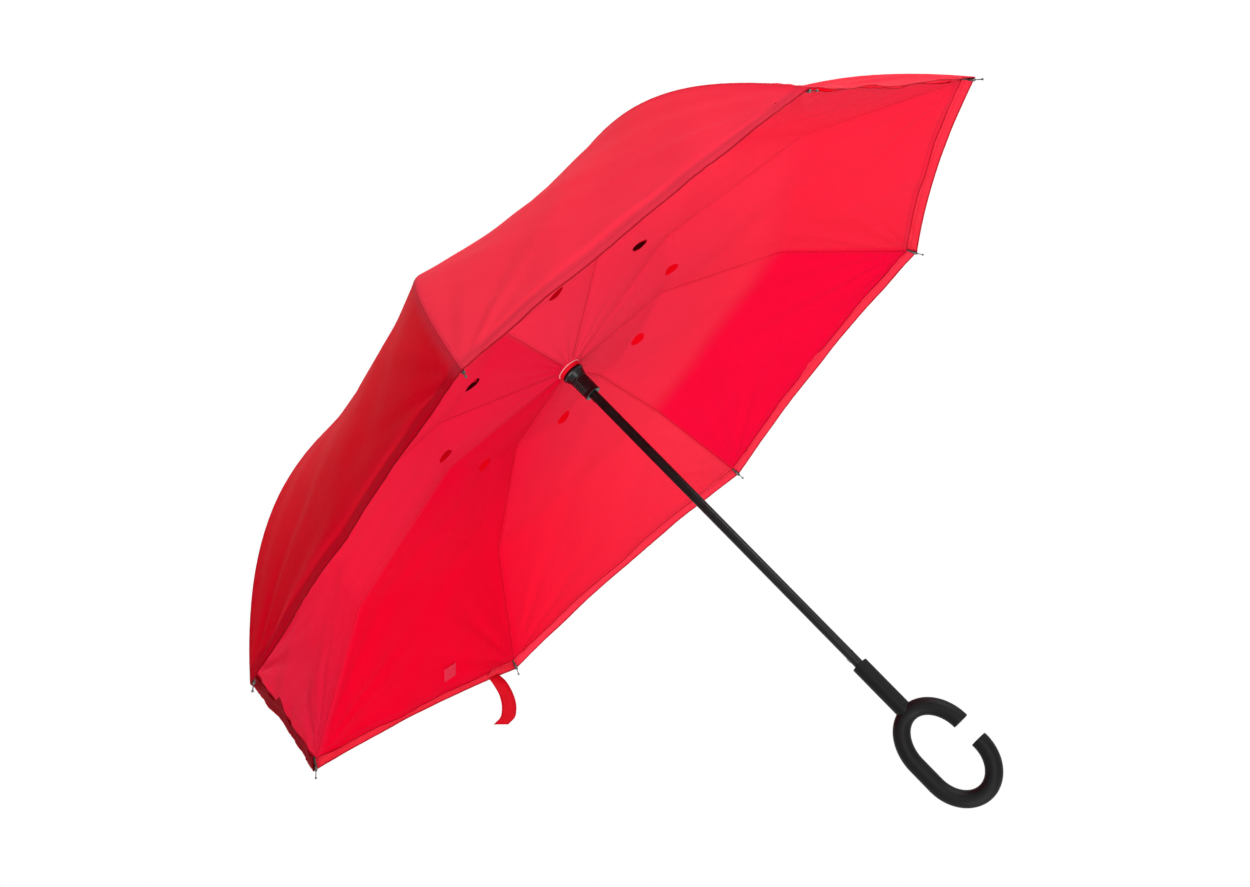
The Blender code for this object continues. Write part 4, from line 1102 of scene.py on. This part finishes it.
# the inner gores' reds are painted light and shade, inside and beyond the bend; a pair shades from one rib to the next
shaded_deep_red = (0.88, 0.0, 0.033)
lit_shaded_near_reds = [(1.0, 0.036, 0.088)] * 4 + [((1.0, 0.042, 0.092), (0.92, 0.008, 0.05)), shaded_deep_red]
lit_shaded_near_reds += [(0.93, 0.012, 0.06), (0.92, 0.010, 0.058)]
lit_shaded_inner_reds = [(0.95, 0.03, 0.073)] + [(0.93, 0.026, 0.076)] * 2 + [(0.93, 0.002, 0.058)]
lit_shaded_inner_reds += [((0.96, 0.045, 0.095), (0.88, 0.004, 0.04)), shaded_deep_red, (0.93, 0.009, 0.06), (0.90, 0.005, 0.055)]


def inner_seam():
    """The inner cloth's seam under a rib: three straight runs with softly rounded bends between them."""
    gone = with_distance(softened([inner_hub, inner_ridge, inner_bend, inner_corner], bend_reach, parts=24))
    distance = np.linspace(0, gone[-1, 0], 4000)
    return np.column_stack((distance, *along_line(gone, distance)))


inner_line = inner_seam()
inner_bend_at = distance_at(inner_line, inner_bend[0])


def inner_sag_at(radius, gore):
    """The inner panels sag under the vents, and from the bend to the rim they billow the other way."""
    outward = np.clip((radius - inner_bend[0]) / (inner_corner[0] - inner_bend[0]), 0, 1)
    return inner_sag * bell(radius, inner_sag_radius, inner_sag_spread) - inner_billows[gore] * outward


def inner_panel(distance, azimuth):
    """The inner panels arch only from the bend to the rim."""
    return panel(inner_line, inner_bend_at, inner_arches, inner_sag_at, distance, azimuth)


def inner_cloth(distance, azimuth):
    """The plain panels with their folds and seams; one gore's rim is ruffled by a sine along the chord."""
    lift = folds(inner_line, inner_phases, inner_folds, distance, azimuth) - seam_relief(inner_line, distance, azimuth)
    gore, off, _, across, _ = gore_place(inner_line, distance, azimuth)
    near_rim = np.exp(-(inner_line[-1, 0] - distance) / inner_ruffle_reach)
    wave = near_rim * (1 - (np.tan(off) / math.tan(half_gore)) ** 2)
    lift += (gore == ruffled_gore) * inner_ruffle * wave * np.sin(full_turn * across / inner_ruffle_length)
    return inner_panel(distance, azimuth) + lift[..., None] * upward(inner_panel, distance, azimuth)


def vent_rows(rows):
    """Puts rows where the vent needs them: closer at its two ends, so that its edge is an even circle. Gives the
    rows and half the vent's width at each."""
    middle = inner_line[:, 1] * math.cos(half_gore)
    circle = vent_circle_radius - vent_radius * np.cos(np.linspace(0, math.pi, 25))
    held = np.interp(circle, middle, inner_line[:, 0])
    kept = rows[(rows < held[0] - vent_room) | (rows > held[-1] + vent_room)]
    rows = np.sort(np.concatenate((kept, held)))
    off = np.interp(rows, inner_line[:, 0], middle) - vent_circle_radius
    return rows, np.sqrt(np.maximum(vent_radius**2 - off**2, 0.0))


inner_colours = (lit_shaded_near_reds, lit_shaded_inner_reds, lit_shaded_inner_reds)
inner_pongee = pongee("inner_pongee", inner_line, float(inner_bend_at), *inner_colours, inner_hem_stitch)


def make_inner_cloth():
    """Its petals part over the stretchers' ends, and its middle stays on the runner's ring."""
    start, parting = distance_at(inner_line, hub_piece_radius), distance_at(inner_line, stretcher_reach)
    rim = inner_line[-1, 0]
    cloth = (inner_cloth, inner_pongee, False)
    upper, cut = vent_rows(petal_rows(start, parting, 60))
    rows, hem = (upper, petal_rows(parting, rim, 66)), (inner_hem_width, inner_hem_gap)
    halves = (
        ("stretcher", "stretcher", stretcher_reach / parted, (parting - start) / parted, upper_keep),
        ("outer_rib", "tip", inner_corner[0], rim - parting + inner_hem_width, lower_keep),
    )
    sew_petals("inner", inner_line, *cloth, rows, parting, hem, halves, vent_clear_reach, cut)
    sew_middle("inner_cloth_hub", "inner_canopy", *cloth, hub_piece_radius, start, "inner_hub_binding", "runner")


make_inner_cloth()


# TIE STRAP AND HOOK PATCH
# The strap is the cloth's own red, folded flat and sewn along both edges; its end is caught under the hem
# beside rib 6 and the rest hangs free in a curl. The hook patch it presses on is sewn to the inner cloth.
strap_rib = 5
strap_share = 0.12
strap_width = 19.0 * mm
strap_thickness = 0.8 * mm
strap_tail = 14.0 * mm
strap_reach = 51.0 * mm
strap_lift = 1.4 * mm
strap_lower = 8.0 * mm
strap_edge = 0.35
strap_down = np.array((-0.096, -0.718, -0.689))
strap_across = np.array((-0.275, 0.685, -0.675))
# the curl's points, in shares of the reach, across and down
strap_hang = np.array(
    ((0.0, 0.0), (0.12, 0.1), (0.24, 0.24), (0.37, 0.47), (0.44, 0.68), (0.46, 0.88), (0.42, 1.09), (0.25, 1.27))
)
strap_turn_rows = 3
strap_inside = np.array((1.0, 0.5))
strap_slope = 0.12
strap_threads = 5200.0
strap_stitching = {"Place": strap_width / 2 - 1.8 * mm, "Width": 0.4 * mm, "Pitch": 2.4 * mm}
strap_red, strap_pale = (0.55, 0.001, 0.008), (0.66, 0.002, 0.016)
# painted shade in the strap's stitch dents
strap_dent_shade = (0.25, 0.003, 0.01)
patch_length, patch_width, patch_height = 17.5 * mm, 24.0 * mm, 0.8 * mm
patch_lift = 0.4 * mm
patch_margin, patch_edge = 0.2, 0.25
patch_share = 0.355
patch_drop_share = 0.84
patch_red, hook_pink = (0.80, 0.02, 0.06), (0.97, 0.075, 0.13)


def share_azimuth(rib, share):
    """The azimuth a share of the way along the chord from a rib to the next."""
    return gore_angle * rib + half_gore + math.atan((2 * share - 1) * math.tan(half_gore))


def eased(points, parts):
    """A smooth path through points: cubic pieces whose slopes are half the span between their neighbours."""
    ends = np.vstack((2 * points[0] - points[1], points, 2 * points[-1] - points[-2]))
    slope = (ends[2:] - ends[:-2]) / 2
    share = (np.arange(parts) / parts)[None, :, None]
    cubic = (
        (1 + 2 * share) * (1 - share) ** 2 * points[:-1, None]
        + share * (1 - share) ** 2 * slope[:-1, None]
        + share**2 * (3 - 2 * share) * points[1:, None]
        + share**2 * (share - 1) * slope[1:, None]
    )
    return np.vstack((cubic.reshape(-1, points.shape[1]), points[-1:]))


def sewn_tape():
    """The folded strap: the cloth's weave, seen on its doubled edge, and a row of stitches along each side, with
    painted shade in their dents.
    """
    made, tree, shader, _ = new_finish("strap_cloth")
    laid = node(tree, "ShaderNodeUVMap", uv_map="cloth").outputs[0]
    parts = split(tree, laid)
    weave = use_group(tree, pongee_weave, {"Vector": laid, "Threads": strap_threads})
    edge = use_group(tree, stitch_line, {"Across": parts[0], "Along": parts[1], **strap_stitching})
    base = mixed(tree, weave["Slubs"], strap_red, strap_pale)
    feed(tree, shader, {
        "Base Color": mixed(tree, maths(tree, "MULTIPLY", edge["Dent"], 0.4), base, strap_dent_shade),
        "Roughness": 0.6,
        "Specular IOR Level": 0.08,
        "Normal": bump(tree, edge["Dent"], 0.6, 0.3 * mm, bump(tree, weave["Height"], 0.2, 0.1 * mm), sunk=True),
    })
    return made


strap_cloth = sewn_tape()


def make_strap():
    """A flat tape with two rounded edges, carried along a path that leaves the hem and hangs in a curl, while its
    width turns from the rim's direction to its own."""
    rim = inner_line[-1, 0]
    azimuth = np.array([share_azimuth(strap_rib, strap_share)])
    foot, back, beside = (
        inner_cloth(np.array([rim - short]), azimuth + turn)[0] for short, turn in ((0, 0), (10 * mm, 0), (0, 0.01))
    )
    along, side = unit(foot - back), unit(beside - foot)
    square = np.cross(along, side)
    square *= np.sign(square[2])
    foot = foot + strap_lift * square + strap_lower * along
    hang = strap_hang @ np.array((strap_across, strap_down)) * strap_reach
    inside = strap_inside[:, None] * strap_tail
    path = np.vstack((foot - inside * along + strap_slope * inside * square, foot + hang))
    turned_share = np.clip((np.arange(len(path)) - 2) / strap_turn_rows, 0, 1)[:, None]
    across = (1 - turned_share) * side - turned_share * strap_across
    path, across = eased(path, 10), unit(eased(across, 10))
    thin = unit(np.cross(np.gradient(path, axis=0), across))

    turn = np.arange(40) * full_turn / 40
    wide, thick = (np.sign(wave) * np.abs(wave) ** strap_edge for wave in (np.cos(turn), np.sin(turn)))
    wide, thick = strap_width / 2 * wide, strap_thickness / 2 * thick
    points = path[:, None] + wide[None, :, None] * across[:, None] + thick[None, :, None] * thin[:, None]
    ends = path[[0, -1], None] + 0 * points[:1]
    strap = shaped("tie_strap", np.concatenate((ends[:1], points, ends[1:])), strap_cloth)
    gone = distances(path)
    gone = np.concatenate((gone[:1], gone, gone[-1:]))
    lay_out(strap, np.stack(np.broadcast_arrays(wide[None, :], gone[:, None]), axis=-1))
    strap = welded(strap)
    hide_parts("strap")
    fold_with(strap, "outer_rib_6")


make_strap()


def hook_tape():
    """Pale pink hook tape: rows of tiny hooks, with a plain sewn margin."""
    made, tree, shader, _ = new_finish("hook_tape")
    laid = node(tree, "ShaderNodeUVMap", uv_map="cloth").outputs[0]
    dots = node(tree, "ShaderNodeTexVoronoi", {"Vector": laid, "Scale": 900.0, "Randomness": 0.35})
    hooks = ranged(tree, dots.outputs["Distance"], 0.15, 0.5, 1.0, 0.0, smooth=True)
    feed(tree, shader, {
        "Base Color": mixed(tree, hooks, patch_red, hook_pink),
        "Roughness": 0.8,
        "Specular IOR Level": 0.08,
        "Normal": bump(tree, hooks, 0.8, 0.6 * mm),
    })
    return made


hook_patch = hook_tape()


def make_patch():
    """A thin pad on the cloth, whose height rises from its margin as a square root."""
    at = np.array([inner_bend_at + patch_drop_share * (inner_line[-1, 0] - inner_bend_at)])
    azimuth = np.array([share_azimuth(strap_rib, patch_share)])
    centre = inner_cloth(at, azimuth)[0]
    along = unit(inner_cloth(at + 5 * mm, azimuth)[0] - centre)
    square = unit(np.cross(along, inner_cloth(at, azimuth + 0.01)[0] - centre))
    square *= -np.sign(square[2])
    beside = np.cross(square, along)
    share = np.linspace(-1, 1, 41)
    first, second = np.meshgrid(share, share, indexing="ij")
    from_edge = 1 - np.maximum(np.abs(first), np.abs(second))
    margin = np.clip(from_edge / patch_margin, 0, 1)
    height = patch_height * (patch_edge + (1 - patch_edge) * margin**0.5) + patch_lift
    long, wide = first * patch_length / 2, second * patch_width / 2
    points = centre + long[..., None] * along + wide[..., None] * beside + height[..., None] * square
    patch = shaped("hook_patch", points, hook_patch, closed=False, flipped=True)
    lay_out(patch, np.stack((long, wide), axis=-1))
    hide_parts("strap_patch")
    fold_with(patch, "outer_rib_6")


make_patch()


# STUDIO
# A plain pale floor below the handle, soft lamps on the camera's side, and a white room that mirrors show.
floor_z = -2.2
floor_size = 16.0
floor_grey, floor_pale = (0.86, 0.86, 0.86), (0.9, 0.9, 0.9)
floor_glow = 0.6
white = (1.0, 1.0, 1.0)
room_light = 0.36
lamp_target = Vector((0.0, 0.0, 0.40))
lamp_distance = 2.6
# each lamp's direction from the canopy, size and power
lamps = {
    "key": ((0.3, 0.9, 0.35), 1.4, 48.0),
    "fill_below": ((0.5, -0.25, -0.83), 1.8, 48.0),
    "fill_front": ((0.9, 0.25, -0.3), 1.4, 25.0),
}


def shown_rays(tree):
    """1 for the camera's own rays and for what gloss and glass show, else 0."""
    rays = tree.nodes.new("ShaderNodeLightPath").outputs
    seen = maths(tree, "MAXIMUM", rays["Is Camera Ray"], rays["Is Glossy Ray"])
    return maths(tree, "MAXIMUM", seen, rays["Is Transmission Ray"])


def make_floor():
    """A flat square grid, white to the camera's rays, which shows the object's shadow."""
    share = np.linspace(-0.5, 0.5, 9) * floor_size
    first, second = np.meshgrid(share, share, indexing="ij")
    made, tree, shader, place = new_finish("pale_floor")
    feed(tree, shader, {
        "Base Color": mixed(tree, noise(tree, place, 3.0), floor_grey, floor_pale),
        "Roughness": 0.9,
        "Specular IOR Level": 0.0,
        "Emission Color": white,
        "Emission Strength": maths(tree, "MULTIPLY", shown_rays(tree), floor_glow),
    })
    points = np.stack((first, second, 0 * first + floor_z), axis=-1)
    shaped("floor", points, made, closed=False, flipped=True)


def softbox(name, direction, size, power):
    """A square lamp that faces the canopy's middle."""
    data = bpy.data.lights.new(name, "AREA")
    data.shape = "SQUARE"
    data.size = size
    data.energy = power
    lamp = bpy.data.objects.new(name, data)
    bpy.context.scene.collection.objects.link(lamp)
    way = Vector(direction).normalized()
    turn = way.to_track_quat("Z", "Y").to_matrix().to_4x4()
    lamp.matrix_world = Matrix.Translation(lamp_target + lamp_distance * way) @ turn


def make_studio():
    """The white room is at full strength for shown rays, and lights the object at its own lower level."""
    make_floor()
    world = bpy.data.worlds.new("white_room")
    bpy.context.scene.world = world
    world.use_nodes = True
    tree = world.node_tree
    strength = ranged(tree, shown_rays(tree), 0.0, 1.0, room_light, 1.0)
    feed(tree, tree.nodes["Background"], {"Color": white, "Strength": strength})
    for name, placed in lamps.items():
        softbox(name, *placed)


make_studio()
bpy.context.scene.view_settings.view_transform = "Standard"
